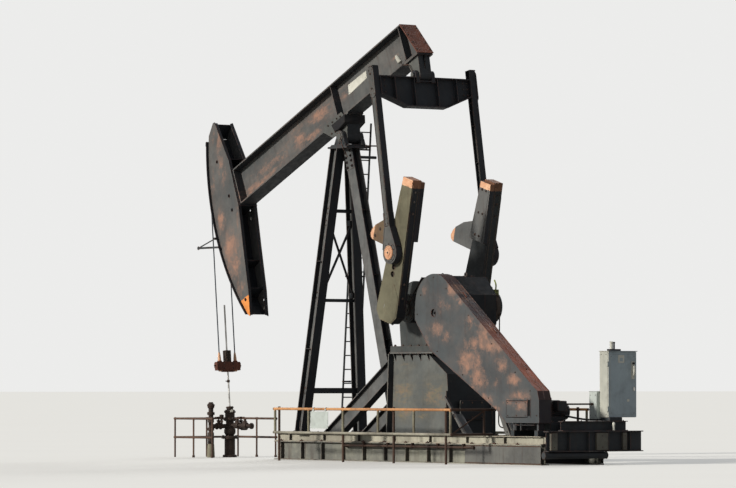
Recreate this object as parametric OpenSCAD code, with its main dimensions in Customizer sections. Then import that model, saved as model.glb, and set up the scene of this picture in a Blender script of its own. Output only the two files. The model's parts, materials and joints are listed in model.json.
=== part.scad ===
/* [Stroke geometry] */
// Height of the saddle bearing above the ground
saddle_z = 7000; // [6800:10:7200]
// Saddle bearing to the face of the horsehead
head_arm = 5270; // [5220:10:5400]
// Saddle bearing to the tail bearing
tail_arm = 2950; // [2900:10:3000]
// Saddle bearing to the crankshaft, measured level
crank_x = 3048; // [3000:2:3100]
// Saddle bearing to the crankshaft, measured down
crank_drop = 3770; // [3740:10:3800]
// Crankshaft to the wrist pin
crank_throw = 1200; // [1150:10:1250]
// Wrist pin to the tail bearing
pitman_len = 3860; // [3830:10:3880]
// Lean of the cranks from upright at rest
crank_lean = 15.8; // [13:0.1:18]
// Lean of the well line from upright
well_lean = 5.6; // [5:0.1:6]

/* [Walking beam] */
// Depth of the beam
beam_depth = 845; // [780:5:880]
// Width of the beam flanges
beam_w = 410; // [360:10:420]
// Thickness of the beam flanges
beam_tf = 28; // [20:1:36]
// Thickness of the beam web
beam_tw = 18; // [12:1:26]
// Pivots to the underside of the beam
pivot_drop = 400; // [380:5:420]
// Saddle bearing to the front end of the beam
beam_front = 4190; // [4150:10:4200]
// Tail bearing to the tail end of the bottom flange
beam_tail = 270; // [240:10:320]
// How much shorter the top flange is at the tail
beam_mitre = 346; // [300:2:380]

/* [Horsehead] */
// Spread of the face above the beam line
head_up = 26; // [25:0.5:27]
// Spread of the face below the beam line
head_down = 22.5; // [22:0.1:23]
// Distance between the outsides of the side plates
head_w = 500; // [480:10:540]
// Width of the face plate
face_w = 620; // [600:10:640]
// Thickness of the head plates
head_t = 20; // [14:1:28]
// Distance between the two lines
line_spread = 420; // [400:10:440]
// Diameter of a line
line_d = 28; // [22:1:32]

/* [Cranks] */
// Distance between the outer faces of the cranks
crank_span = 2340; // [2320:10:2360]
// Thickness of a crank arm
crank_t = 220; // [190:5:230]
// Crankshaft to the tip of a crank
crank_len = 2800; // [2750:10:2800]
// Width of a crank at the hub
crank_hub_w = 740; // [700:10:780]
// Width of a crank at the tip
crank_tip_w = 350; // [320:10:400]
// Thickness of the weight on the inner side
weight_t = 100; // [80:5:105]
// Thickness of the fan weight
fan_t = 122; // [100:2:140]
// Diameter of the crankshaft
shaft_d = 220; // [200:5:250]

/* [Pitmans] */
// Depth of a pitman section
pitman_d = 150; // [130:5:180]
// Width of a pitman section
pitman_w = 150; // [130:5:160]
// Wrist bearing radius
wrist_r = 240; // [220:5:260]
// Depth of the equaliser at its middle
equal_mid = 650; // [600:10:700]
// Depth of the equaliser at its ends
equal_end = 390; // [340:10:440]
// Width of the equaliser flanges
equal_w = 200; // [170:5:220]

/* [Base] */
// Height of the base rails
base_h = 410; // [390:5:430]
// Height of the upper rails
upper_h = 170; // [160:5:180]
// Distance between the middles of the base rails
base_gauge = 1400; // [1380:10:1410]
// Front end of the base ahead of the saddle
base_front = 1760; // [1700:10:1800]
// Rear end of the base behind the saddle
base_rear = 7900; // [7880:10:7950]

/* [Post] */
// Front feet ahead of the saddle
foot_front = 720; // [680:10:760]
// Distance between the front feet
foot_gauge = 1540; // [1500:10:1560]
// Rear foot behind the saddle
foot_rear = 1850; // [1800:10:1900]
// Underside of the post cap below the saddle bearing
cap_drop = 250; // [245:1:255]
// Depth of a front leg section
leg_d = 250; // [230:5:270]
// Width of a front leg section
leg_w = 210; // [180:5:220]

/* [Reducer] */
// Width of the reducer housing
reducer_w = 920; // [880:10:930]
// Top of the pedestal above the ground
pedestal_z = 2310; // [2290:5:2330]
// Width of the pedestal between its side faces
pedestal_w = 1100; // [1060:10:1120]

/* [Belt guard] */
// Distance from the mid-plane to the outer face of the guard
guard_out = 780; // [770:5:800]
// Depth of the guard
guard_d = 308; // [280:2:310]
// Radius of the guard round the large sheave
guard_r = 675; // [650:5:690]

/* [Rails round the machine] */
// Distance from the mid-plane to a guard rail
rail_y = 1750; // [1700:10:1800]
// Height of the guard rails
rail_z = 1140; // [1050:10:1200]
// Height of the rails round the well
well_rail_z = 890; // [850:10:950]

/* [Control panel] */
// Height of the panel
panel_h = 1340; // [1200:10:1350]
// Width of the panel
panel_w = 720; // [680:10:760]
// Depth of the panel
panel_d = 290; // [270:5:320]

/* [Hidden] */

$fn = 48;
// Gap between pieces of one body that fit round each other
seat = 0.3;
// Running clearance of a bearing, each side
run = 0.08;
// Least gap between moving pieces
clear = 8;
// Sides of a full arc on the large head circles
arc_fn = 240;

charcoal = [0.16, 0.17, 0.17];
steel_grey = [0.36, 0.38, 0.38];
olive_grey = [0.45, 0.44, 0.37];
rust_red = [0.38, 0.22, 0.17];
guard_orange = [0.86, 0.5, 0.25];
pale_grey = [0.62, 0.62, 0.58];
cream = [0.86, 0.84, 0.76];

// Linkage at rest, from its lengths
crank_z = saddle_z - crank_drop;
pin_x = crank_x + crank_throw * sin(crank_lean);
pin_dz = crank_throw * cos(crank_lean) - crank_drop;
pin_reach = norm([pin_x, pin_dz]);
tail_open = acos((pow(pin_reach, 2) + pow(tail_arm, 2) - pow(pitman_len, 2)) / (2 * pin_reach * tail_arm));
beam_pitch = atan2(pin_dz, pin_x) + tail_open;
tail_x = tail_arm * cos(beam_pitch);
tail_dz = tail_arm * sin(beam_pitch);
pitman_lean = atan2(pin_x - tail_x, tail_dz - pin_dz);

// Radius at which the lines run round the head
line_r = head_arm + line_d;

module at_beam() translate([0, 0, saddle_z]) rotate([0, -beam_pitch, 0]) children();
module at_crank() translate([crank_x, 0, crank_z]) rotate([0, crank_lean, 0]) children();
module at_pin() translate([pin_x, 0, saddle_z + pin_dz]) rotate([0, -pitman_lean, 0]) children();
module at_tail() translate([tail_x, 0, saddle_z + tail_dz]) rotate([0, -pitman_lean, 0]) children();

// Middle of the well line at height z
function well_x(z) = -line_r / cos(well_lean) + (saddle_z - z) * tan(well_lean);
module at_well(z) translate([well_x(z), 0, z]) rotate([0, -well_lean, 0]) children();

// Solid between y0 and y1 whose outline lies in X and Z
module slab_y(y0, y1) translate([0, y1, 0]) rotate([90, 0, 0]) linear_extrude(height = y1 - y0) children();

// Solid between x0 and x1 whose outline lies in Y and Z
module slab_x(x0, x1) translate([x0, 0, 0]) rotate([90, 0, 90]) linear_extrude(height = x1 - x0) children();

module bar_y(r, y0, y1) translate([0, y1, 0]) rotate([90, 0, 0]) cylinder(r = r, h = y1 - y0);
module bar_x(r, x0, x1) translate([x0, 0, 0]) rotate([0, 90, 0]) cylinder(r = r, h = x1 - x0);
module block(x0, x1, y0, y1, z0, z1) translate([x0, y0, z0]) cube([x1 - x0, y1 - y0, z1 - z0]);

// Everything is drawn on the near side, and side = 1 gives the far one
module on_side(side) mirror([0, side > 0 ? 1 : 0, 0]) children();

// Outline of a rolled section, depth along X and flanges along Y
module section(depth, width, tf, tw) {
    square([depth, tw], center = true);
    for (s = [-1, 1]) translate([s * (depth - tf) / 2, 0]) square([tf, width], center = true);
}

// Rolled section from p to q, with its web turned by roll
module member(p, q, depth, width, tf, tw, roll = 0) {
    v = q - p;
    translate(p) rotate([0, acos(v.z / norm(v)), atan2(v.y, v.x)]) rotate([0, 0, roll])
        linear_extrude(height = norm(v)) section(depth, width, tf, tw);
}

// Rolled section lying across the machine from y0 to y1, centred on x and z
module cross_member(x, z, y0, y1, depth, width, tf, tw) translate([x, y1, z]) rotate([90, 0, 0])
    linear_extrude(height = y1 - y0) rotate(90) section(depth, width, tf, tw);

// Straight round bar from p to q
module strut(p, q, r) {
    v = q - p;
    translate(p) rotate([0, acos(v.z / norm(v)), atan2(v.y, v.x)]) cylinder(r = r, h = norm(v));
}

// Straight flat bar from p to q
module flat_bar(p, q, width, t) {
    v = q - p;
    translate(p) rotate([0, acos(v.z / norm(v)), atan2(v.y, v.x)])
        linear_extrude(height = norm(v)) square([width, t], center = true);
}

module between_levels(z0, z1) intersection() {
    children();
    block(-base_front, base_rear, -foot_gauge, foot_gauge, z0, z1);
}

// Base rails, cross beams, the lighter upper rails and the beam across the rear end
base_flange = 200;
base_tf = 22;
base_tw = 16;
base_y = base_gauge / 2;
module base_rail(side) color(pale_grey) on_side(side) translate([0, -base_y, base_h / 2])
    slab_x(-base_front, base_rear) rotate(90) section(base_h, base_flange, base_tf, base_tw);

cross_w = 180;
cross_x = [-base_front + 100, 0, foot_rear, 2950, 4400, 5900, base_rear - 500];
module base_cross_beams() color(steel_grey) {
    half = base_y - base_tw / 2;
    inner = base_y - base_flange / 2;
    for (x = cross_x) cross_member(x, base_h / 2, -half, half, base_h - 2 * base_tf, cross_w, 20, 14);
    block(-cross_w / 2, cross_w / 2, -inner, inner, 0, base_tf);
}

upper_w = 150;
foot_z = base_h + upper_h;
module upper_rail(side) color(pale_grey) on_side(side) translate([0, -base_y, base_h + upper_h / 2])
    slab_x(-base_front, base_rear - 60) rotate(90) section(upper_h, upper_w, 16, 12);

rear_z0 = 270;
rear_h = 420;
rear_w = 160;
rear_far = 1690;
rear_ribs = [-190, 300, 800, 1365];
pipe_r = 68;
module rear_beam() color(charcoal) {
    x = base_rear + rear_w / 2;
    cross_member(x, rear_z0 + rear_h / 2, -base_y - 45, rear_far, rear_h, rear_w, 20, 14);
    for (y = rear_ribs) block(x - rear_w / 2 + 8, x + rear_w / 2 - 8, y - 8, y + 8, rear_z0 + 10, rear_z0 + rear_h - 10);
    pipe_z = rear_z0 - pipe_r - 6;
    translate([base_rear + pipe_r + 4, 0, pipe_z]) bar_y(pipe_r, -base_y - 100, base_y + 100);
    for (s = [-1, 1])
        block(base_rear, base_rear + pipe_r, s * base_y - 60, s * base_y + 60, pipe_z - pipe_r - 10, rear_z0 + 10);
}

// Three-legged post
foot_t = 25;
cap_z = saddle_z - cap_drop;
top_half = 175;
top_front = 220;
leg_z0 = foot_z + foot_t;
leg_tf = 20;
leg_tw = 14;
leg_in = (foot_gauge / 2 - top_half) / (cap_z - leg_z0);
leg_back = (foot_front - top_front) / (cap_z - leg_z0);

// Middle of a front leg at height z, on the near side
function leg_at(z) = [leg_back * (z - leg_z0) - foot_front, leg_in * (z - leg_z0) - foot_gauge / 2, z];

module front_leg(side) color(charcoal) on_side(side) {
    between_levels(leg_z0, cap_z)
        member(leg_at(leg_z0 - 200), leg_at(cap_z + 200), leg_d, leg_w, leg_tf, leg_tw, -atan2(leg_in, leg_back));
    translate([-foot_front, -foot_gauge / 2, foot_z]) translate([-190, -130, 0]) cube([380, 260, foot_t]);
}

rear_flange = 280;
rear_depth = 210;
rear_top = 65;
module rear_leg() color(charcoal) {
    k = (rear_top - foot_rear) / (cap_z - leg_z0);
    between_levels(leg_z0, cap_z)
        member([foot_rear - 200 * k, 0, leg_z0 - 200], [rear_top + 200 * k, 0, cap_z + 200],
            rear_depth, rear_flange, 18, leg_tw, 90);
    block(foot_rear - 230, foot_rear + 230, -base_y - 60, base_y + 60, foot_z, foot_z + foot_t);
}

brace_z = [1500, 3460, 5400];
brace_h = [120, 70, 75];
brace_w = 50;
brace_t = 22;
pad_w = 110;

// Where a piece of height h meets the web of a near leg at height z
function web_y(z, h) = leg_at(z).y + leg_tw * 0.51 + leg_in * h / 2 + seat;
module post_bracing() color(charcoal) {
    for (i = [0:2]) {
        y = web_y(brace_z[i], brace_h[i]);
        x = leg_at(brace_z[i]).x;
        block(x - 28, x + 28, y, -y, brace_z[i] - brace_h[i] / 2, brace_z[i] + brace_h[i] / 2);
    }
    lo = leg_at(brace_z[1] + 110);
    hi = leg_at(brace_z[2] - 260);
    for (s = [-1, 1]) {
        translate([s * brace_t, 0, 0])
            flat_bar([lo.x, s * (lo.y + 45), lo.z], [hi.x, -s * (hi.y + 45), hi.z], brace_w, brace_t);
        for (p = [lo, hi]) {
            y = web_y(p.z, 120);
            block(p.x - 56, p.x + 56, s < 0 ? y : -y - pad_w, s < 0 ? y + pad_w : -y, p.z - 60, p.z + 60);
        }
    }
}

cap_t = 40;
cap_half = 290;
module post_cap() color(charcoal) {
    block(-420, 300, -cap_half - 10, cap_half + 10, cap_z, cap_z + cap_t);
    for (s = [-1, 1]) block(-340, -110, s * 60 - 8, s * 60 + 8, cap_z - 260, cap_z);
}

// Saddle bearing: the post holds a shaft, and the saddle under the beam turns on it
saddle_r = 70;
saddle_hub = 150;
hub_half = 170;
cheek_in = hub_half + clear;
cheek_out = cheek_in + 90;
module saddle_bearing() color(charcoal) {
    block(-300, 240, -cap_half, cap_half, cap_z + cap_t, cap_z + cap_t + 40);
    for (s = [-1, 1]) slab_y(s > 0 ? cheek_in : -cheek_out, s > 0 ? cheek_out : -cheek_in)
        translate([0, saddle_z]) {
            circle(r = 130);
            polygon([[-130, 0], [130, 0], [220, cap_t + 20 - cap_drop], [-230, cap_t + 20 - cap_drop]]);
        }
    translate([0, 0, saddle_z]) bar_y(saddle_r, -cheek_out - 20, cheek_out + 20);
}

module beam_saddle() color(steel_grey) at_beam() {
    difference() {
        slab_y(-hub_half, hub_half) {
            circle(r = saddle_hub);
            polygon([[-saddle_hub, 0], [saddle_hub, 0], [330, pivot_drop - 30], [-330, pivot_drop - 30]]);
        }
        bar_y(saddle_r + run, -hub_half - 1, hub_half + 1);
    }
    block(-400, 400, -beam_w / 2, beam_w / 2, pivot_drop - 30, pivot_drop);
}

// Ladder in front of the post
ladder_y = 700;
ladder_w = 420;
rung_pitch = 305;
ladder_z0 = 900;
ladder_z1 = 7350;
ladder_off = 330;
lug = 20;
function ladder_x(z) = leg_at(z).x - ladder_off;
module ladder() color(charcoal) {
    for (s = [-1, 1])
        strut([ladder_x(ladder_z0), ladder_y + s * ladder_w / 2, ladder_z0],
            [ladder_x(ladder_z1), ladder_y + s * ladder_w / 2, ladder_z1], 22);
    for (z = [ladder_z0 + 150 : rung_pitch : ladder_z1 - 60])
        translate([ladder_x(z), 0, z]) bar_y(13, ladder_y - ladder_w / 2, ladder_y + ladder_w / 2);
    for (z = [1700, 4000]) {
        y = -leg_at(z).y;
        face = leg_at(z).x - leg_d * 0.503 - leg_back * lug - seat;
        block(ladder_x(z) - lug, face, y - lug, y + lug, z - lug, z + lug);
        translate([ladder_x(z), 0, z]) bar_y(lug - 2, min(y, ladder_y - ladder_w / 2), ladder_y + ladder_w / 2);
    }
    z = cap_z + cap_t / 2;
    block(ladder_x(z) - lug, -420, cap_half - 2 * lug, cap_half, cap_z, cap_z + cap_t);
    translate([ladder_x(z), 0, z]) bar_y(lug - 2, cap_half - lug, ladder_y + ladder_w / 2);
}

// Pedestal under the reducer, and its two raking braces
ped_front = 2310;
ped_rear = 4440;
ped_rake = 80;
plate_over = 130;
ped_t = 30;
module pedestal() color(steel_grey) {
    half = pedestal_w / 2;
    slab_y(-half, half) polygon([[ped_front + ped_t / 2, foot_z], [ped_front + ped_rake, pedestal_z - ped_t],
        [3660, pedestal_z - ped_t], [4330, 1850], [ped_rear, foot_z]]);
    slab_y(-half - plate_over, half + plate_over) polygon([[ped_front, foot_z], [ped_front + ped_rake, pedestal_z - ped_t],
        [ped_front + ped_rake + ped_t, pedestal_z - ped_t], [ped_front + ped_t, foot_z]]);
    block(ped_front + ped_rake, 3930, -half - plate_over + 40, half + plate_over - 40, pedestal_z - ped_t, pedestal_z);
    for (x = [2500 : 300 : 3700]) for (s = [0, 1]) mirror([0, s, 0])
        slab_x(x - 8, x + 8) polygon([[-half - plate_over + 50, pedestal_z - ped_t], [1 - half, pedestal_z - ped_t],
            [1 - half, pedestal_z - 190]]);
    block(ped_front, ped_rear, -base_y, base_y, foot_z, foot_z + 20);
}

brace_y = 500;
brace_rise = 0.637;
module pedestal_brace(side) color(charcoal) on_side(side) {
    x0 = 140;
    difference() {
        between_levels(foot_z, pedestal_z - ped_t)
            member([x0 - 400, -brace_y, foot_z - 400 * brace_rise], [x0 + 2700, -brace_y, foot_z + 2700 * brace_rise],
                360, 190, 18, 12);
        slab_y(-brace_y - 200, -brace_y + 200) polygon([[ped_front, foot_z], [ped_front + ped_rake, pedestal_z - ped_t],
            [2 * ped_front, pedestal_z - ped_t], [2 * ped_front, foot_z]]);
    }
    block(x0 - 370, x0 + 350, -base_y - 60, -brace_y + 100, foot_z, foot_z + 20);
}

// Gear reducer with the crankshaft bore
red_half = reducer_w / 2;
shaft_r = shaft_d / 2;
red_foot = 130;
red_top = 3880;
boss_r = 300;
module reducer_housing() color(steel_grey) difference() {
    union() {
        block(ped_front + ped_rake, 3930, -pedestal_w / 2 - 70, pedestal_w / 2 + 70, pedestal_z, pedestal_z + red_foot);
        slab_y(-red_half, red_half) {
            translate([crank_x, crank_z]) circle(r = 580);
            polygon([[2560, pedestal_z + 20], [2480, crank_z - 100], [2870, 3410], [3330, red_top], [4330, red_top],
                [4700, 3500], [4700, 2900], [4330, pedestal_z + 20]]);
        }
        for (s = [0, 1]) mirror([0, s, 0]) {
            translate([crank_x, 0, crank_z]) bar_y(boss_r, -red_half - 190, -red_half + 10);
            block(2430, 3490, -red_half - 50, -red_half + 10, crank_z - 25, crank_z + 25);
        }
    }
    translate([crank_x, 0, crank_z]) bar_y(shaft_r + run, -crank_span, crank_span);
}

// Brake drum on the high-speed shaft
sheave_x = 4180;
sheave_z = 3260;
module brake_drum() color(charcoal) translate([sheave_x, 0, sheave_z]) {
    bar_y(90, red_half, red_half + 110);
    bar_y(340, red_half + 100, red_half + 290);
    block(-45, 45, red_half + 110, red_half + 250, 320, 420);
}

// Closed guard over the belts
guard_in = guard_out - guard_d;
guard_low = 850;
slide_x = 400;
module guard_outline() {
    translate([sheave_x, sheave_z]) circle(r = guard_r);
    polygon([[sheave_x - guard_r, sheave_z], [sheave_x - guard_r, 3000], [4050, 2350], [6380, 1110], [6690, guard_low],
        [7800, guard_low], [7800, 1320], [7740, 1500], [7500, 1660], [4580, 3804], [sheave_x, sheave_z]]);
}
motor_x = 7250;
slide_z = foot_z + 120;
module belt_guard() color(rust_red) {
    difference() {
        slab_y(-guard_out, -guard_in) guard_outline();
        translate([4170, 0, 3120]) bar_y(80, -guard_out - 1, -guard_out + 40);
    }
    for (s = [-1, 1]) block(motor_x + s * slide_x - 30, motor_x + s * slide_x + 30, -700, -560, slide_z, guard_low + 1);
}

// Motor and its slide base
motor_z = 1080;
motor_r = 210;
slide_top = motor_z - motor_r - 10;
module motor() color(charcoal) translate([motor_x, 0, motor_z]) {
    bar_y(motor_r, -guard_in + 70, 200);
    bar_y(60, -guard_in, -guard_in + 71);
    bar_y(motor_r - 30, 199, 260);
    for (s = [-1, 1]) block(s * 150 - 60, s * 150 + 60, -280, 150, slide_top - motor_z, -100);
}

module motor_base() color(charcoal) {
    for (s = [-1, 1]) block(motor_x + s * slide_x - 60, motor_x + s * slide_x + 60, -base_y - 40, base_y + 40, foot_z, slide_z);
    block(motor_x - slide_x - 60, motor_x + slide_x + 60, -guard_in + 52, 300, slide_z, slide_top);
}

// Beam that carries the control panel
stand_z = rear_z0 + rear_h;
stand_h = 200;
panel_x = 7650;
panel_y = 885;
panel_z = 960;
module panel_beam() color(charcoal) {
    x = base_rear + 20;
    cross_member(x, stand_z + stand_h / 2, -330, 1340, stand_h, 160, 16, 12);
    block(panel_x + 40, x + 60, panel_y, panel_y + 320, stand_z + stand_h, panel_z);
}

wall = 5;
door_t = 22;
door_gap = 5;
hinge_r = 7;
knuckle_r = 13;
hinge_y = panel_y - 16;
front_x = panel_x + panel_d - door_t - door_gap;
hinge_x = panel_x + panel_d - 9;
roof_z = panel_z + panel_h;
hinge_zs = [panel_z + 170, roof_z - 250];
module panel_box() color(steel_grey) {
    difference() {
        block(panel_x, front_x, panel_y, panel_y + panel_w, panel_z, roof_z);
        block(panel_x + wall, front_x + 1, panel_y + wall, panel_y + panel_w - wall, panel_z + wall, roof_z - wall);
    }
    block(panel_x - 12, panel_x + panel_d + 22, panel_y - 12, panel_y + panel_w + 12, roof_z - 1, roof_z + 14);
    for (z = hinge_zs) {
        for (d = [-40, 40]) {
            translate([hinge_x, hinge_y, z + d - 12]) cylinder(r = knuckle_r, h = 24);
            block(front_x - 30, hinge_x, hinge_y - knuckle_r, hinge_y + knuckle_r, z + d - 12, z + d + 12);
            block(front_x - 30, front_x, hinge_y, panel_y + wall, z + d - 12, z + d + 12);
        }
        translate([hinge_x, hinge_y, z - 45]) cylinder(r = hinge_r, h = 90);
    }
}

module panel_door() color(steel_grey) {
    block(front_x + door_gap, panel_x + panel_d, panel_y + 2, panel_y + panel_w - 2, panel_z + 4, roof_z - 7);
    for (z = hinge_zs) difference() {
        union() {
            translate([hinge_x, hinge_y, z - 26]) cylinder(r = knuckle_r, h = 52);
            block(hinge_x - 6, panel_x + panel_d, hinge_y, panel_y + 20, z - 26, z + 26);
        }
        translate([hinge_x, hinge_y, z - 30]) cylinder(r = hinge_r + run, h = 60);
    }
}

module control_box() color(cream) {
    block(panel_x - 250, panel_x, panel_y - 75, panel_y + 175, 925, 1485);
    block(panel_x - 200, panel_x + 40, panel_y + 10, panel_y + 155, stand_z + stand_h, 926);
}

// Rails round the machine
post_r = 24;
tube_r = 28;
// The lower tubes are level with one that lies on the upper rail
low_z = foot_z + tube_r + seat;
rail_x0 = -300;
rail_x1 = 6100;
tube_z = rail_z - tube_r;
module fence_x(x0, x1, y, bays, z0, top, low, r) {
    for (i = [0:bays]) translate([x0 + (x1 - x0) * i / bays, y, z0]) cylinder(r = r, h = top - z0);
    for (z = [low, top]) translate([0, y, z]) bar_x(r + 4, x0 - r - 4, x1 + r + 4);
}
module guard_rail(side) color(guard_orange) on_side(side)
    fence_x(rail_x0, rail_x1, -rail_y, 5, low_z, tube_z, low_z, post_r);

// Posts in the ground that carry the guard rails
ground_x = [-220, 2190, 4030, 5870];
ground_r = 26;
module guard_posts() color(rust_red) for (s = [0, 1]) mirror([0, s, 0]) for (x = ground_x)
    translate([x, -rail_y + tube_r + seat + ground_r, 0]) cylinder(r = ground_r, h = rail_z + 20);

return_y = 900;
module guard_return() color(guard_orange) {
    translate([rail_x1, -return_y, low_z]) cylinder(r = post_r, h = tube_z - low_z);
    translate([rail_x1, 0, tube_z]) bar_y(tube_r, -rail_y + tube_r + seat, -600);
    translate([rail_x1, 0, low_z]) bar_y(tube_r, -rail_y + tube_r + seat, -base_y);
    strut([rail_x1, -rail_y + 60, low_z + 20], [rail_x1, -return_y, tube_z - 20], 16);
}

module sign_plate() color(cream) {
    y = -rail_y - tube_r - seat;
    block(1100, 1750, y - 8, y, 700, 1060);
    for (x = [1180, 1630]) block(x, x + 40, y - 8, y, 1059, tube_z + 12);
}

well_front = 5700;
well_back = 4160;
well_y = 850;
well_low = 450;
well_r = 20;
module well_rail(side) color(steel_grey) on_side(side)
    fence_x(-well_front, -well_back, -well_y, 2, 0, well_rail_z - well_r, well_low, well_r);

module well_rail_front() color(steel_grey) {
    reach = well_y - well_r - 4 - seat;
    translate([-well_front, 0, 0]) cylinder(r = well_r, h = well_rail_z - well_r);
    for (z = [well_low, well_rail_z - well_r]) translate([-well_front, 0, z]) bar_y(well_r + 4, -reach, reach);
}

// Wellhead under the head
gland_z = 1140;
head_x = well_x(gland_z - 60);
body_z = 850;
tee_z = 700;
module wellhead() color(charcoal) translate([head_x, 0, 0]) {
    cylinder(r = 120, h = 430);
    translate([0, 0, 420]) cylinder(r = 190, h = 50);
    translate([0, 0, 460]) cylinder(r = 90, h = body_z - 460);
    translate([0, 0, tee_z]) bar_y(50, -510, 620);
    translate([0, -508, 560]) cylinder(r = 55, h = 640);
    translate([0, 0, tee_z]) bar_y(95, 320, 440);
}

rod_r = 19;
module stuffing_box() color(steel_grey) {
    translate([head_x, 0, body_z]) cylinder(r = 110, h = 150);
    intersection() {
        at_well(gland_z) translate([0, 0, -300]) cylinder(r = 75, h = 300);
        block(-well_front, 0, -200, 200, body_z + 140, gland_z + 100);
    }
}

// Crankshaft, cranks and their weights
crank_out = crank_span / 2;
crank_in = crank_out - crank_t;
module crankshaft() color(charcoal) translate([crank_x, 0, crank_z]) bar_y(shaft_r, -crank_in, crank_in);

hub_r = crank_hub_w / 2;

// Half width of a crank at distance w from the crankshaft
function crank_half(w) = hub_r + (crank_tip_w / 2 - hub_r) * w / crank_len;
pin_holes = [740, 892];
hub_end = 290;
module crank(side) color(olive_grey) on_side(side) at_crank() difference() {
    slab_y(-crank_out, -crank_in) {
        polygon([[-210, -hub_end], [210, -hub_end], [hub_r, -120], [hub_r, 0], [crank_tip_w / 2, crank_len],
            [-crank_tip_w / 2, crank_len], [-hub_r, 0], [-hub_r, -120]]);
    }
    for (w = pin_holes) translate([0, 0, w]) bar_y(60, -crank_out - 1, -crank_out + 60);
}

inner_lo = 1500;
fan_gap = 35;
fan_lo = 1220;
fan_hi = 1890;
module crank_weight(side) color(steel_grey) on_side(side) at_crank() {
    top = crank_len - 40;
    slab_y(-crank_in, -crank_in + weight_t) polygon([[-crank_half(inner_lo), inner_lo], [crank_half(inner_lo), inner_lo],
        [crank_half(top), top], [-crank_half(top), top]]);
    y1 = -crank_in - fan_gap;
    slab_y(y1 - fan_t, y1) polygon([[-crank_half(fan_lo), fan_lo], [-990, 1240], [-1075, 1285], [-1100, 1360],
        [-1060, 1460], [-970, 1565], [-716, 1730], [-crank_half(fan_hi), fan_hi]]);
}

// Walking beam
beam_lo = pivot_drop;
beam_hi = pivot_drop + beam_depth;
tail_end = tail_arm + beam_tail;
stiff_u = [0, tail_arm - 170];
tail_plate_t = 20;
module walking_beam() color(charcoal) at_beam() intersection() {
    slab_y(-beam_w, beam_w) polygon([[-beam_front, beam_lo], [tail_end, beam_lo],
        [tail_end - beam_mitre, beam_hi], [-beam_front, beam_hi]]);
    union() {
        for (z = [beam_lo, beam_hi - beam_tf]) block(-beam_front, tail_end, -beam_w / 2, beam_w / 2, z, z + beam_tf);
        block(-beam_front, tail_end, -beam_tw / 2, beam_tw / 2, beam_lo, beam_hi);
        for (u = stiff_u) block(u - 8, u + 8, -beam_w / 2 + 12, beam_w / 2 - 12, beam_lo, beam_hi);
        block(-beam_front, -beam_front + 30, -beam_w / 2, beam_w / 2, beam_lo, beam_hi);
    }
}

module tail_plate() color(rust_red) at_beam()
    slab_y(-beam_w / 2 - 10, beam_w / 2 + 10) polygon([[tail_end, beam_lo], [tail_end + tail_plate_t, beam_lo],
        [tail_end - beam_mitre + tail_plate_t, beam_hi], [tail_end - beam_mitre, beam_hi]]);

// Point at radius r and angle a above the beam line, on the head's side
function on_head(r, a) = [-r * cos(a), r * sin(a)];
in_r = head_arm - head_t;
module head_outline() intersection() {
    circle(r = in_r - seat, $fn = arc_fn);
    polygon([[-4430, 2530], [-4370, 2520], [-4188, 1456], [-4225, 402], [-4424, -526], [-4625, -1530], [-4794, -2089],
        on_head(head_arm, -head_down), on_head(1.1 * head_arm, -head_down), on_head(1.1 * head_arm, 0),
        on_head(1.1 * head_arm, head_up), on_head(head_arm, head_up)]);
}

// Lifting and inspection holes, in the head's own plane
head_holes = [[-4627, 1651], [-4490, 734], [-4505, 392], [-4810, -1680]];
module head_plate(side) color(steel_grey) on_side(side) at_beam() difference() {
    slab_y(-head_w / 2, -head_w / 2 + head_t) head_outline();
    for (p = head_holes) translate([p.x, 0, p.y]) bar_y(30, -head_w, 0);
}

// Sector of a ring between two angles above the beam line
module ring_sector(r0, r1, lo, hi) difference() {
    intersection() {
        circle(r = r1, $fn = arc_fn);
        polygon([[0, 0], on_head(1.2 * r1, lo), on_head(1.3 * r1, (lo + hi) / 2), on_head(1.2 * r1, hi)]);
    }
    circle(r = r0, $fn = arc_fn);
}

module head_face() color(charcoal) at_beam()
    slab_y(-face_w / 2, face_w / 2) ring_sector(in_r, head_arm, -head_down, head_up - 1);

// Ribs between the side plates: angle above the beam line, and length inward from the face
ribs = [[-17, 340], [-10, 600], [20, 700]];
top_bevel = [[-4720, 2290], [-4434, 2508], [-4422, 2490], [-4708, 2272]];
module head_frame() color(charcoal) at_beam() {
    half = head_w / 2 - head_t;
    block(-beam_front - head_t, -beam_front, -half, half, beam_lo - 40, beam_hi + 40);
    slab_y(-half, half) intersection() {
        circle(r = in_r - seat, $fn = arc_fn);
        union() {
            polygon(top_bevel);
            for (z = [beam_lo, beam_hi - head_t]) translate([-head_arm, z]) square([head_arm - beam_front - 1, head_t]);
            for (k = ribs) translate(on_head(in_r, k[0])) rotate(-k[0]) translate([-10, -head_t / 2]) square([k[1], head_t]);
        }
    }
}

hang_lo = beam_pitch - well_lean;
hang_hi = head_up - 2;
module line_hanger() color(charcoal) at_beam() {
    intersection() {
        for (s = [-1, 1]) translate([0, s * line_spread / 2, 0]) rotate([90, 0, 0])
            rotate_extrude($fn = arc_fn) translate([line_r, 0]) circle(r = line_d / 2, $fn = 16);
        slab_y(-face_w, face_w) polygon([[0, 0], on_head(2 * head_arm, hang_lo + 0.004), on_head(2 * head_arm, hang_hi)]);
    }
    slab_y(-line_spread / 2 - 60, line_spread / 2 + 60) ring_sector(head_arm, head_arm + 80, hang_hi - 0.1, hang_hi + 0.9);
}

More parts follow.
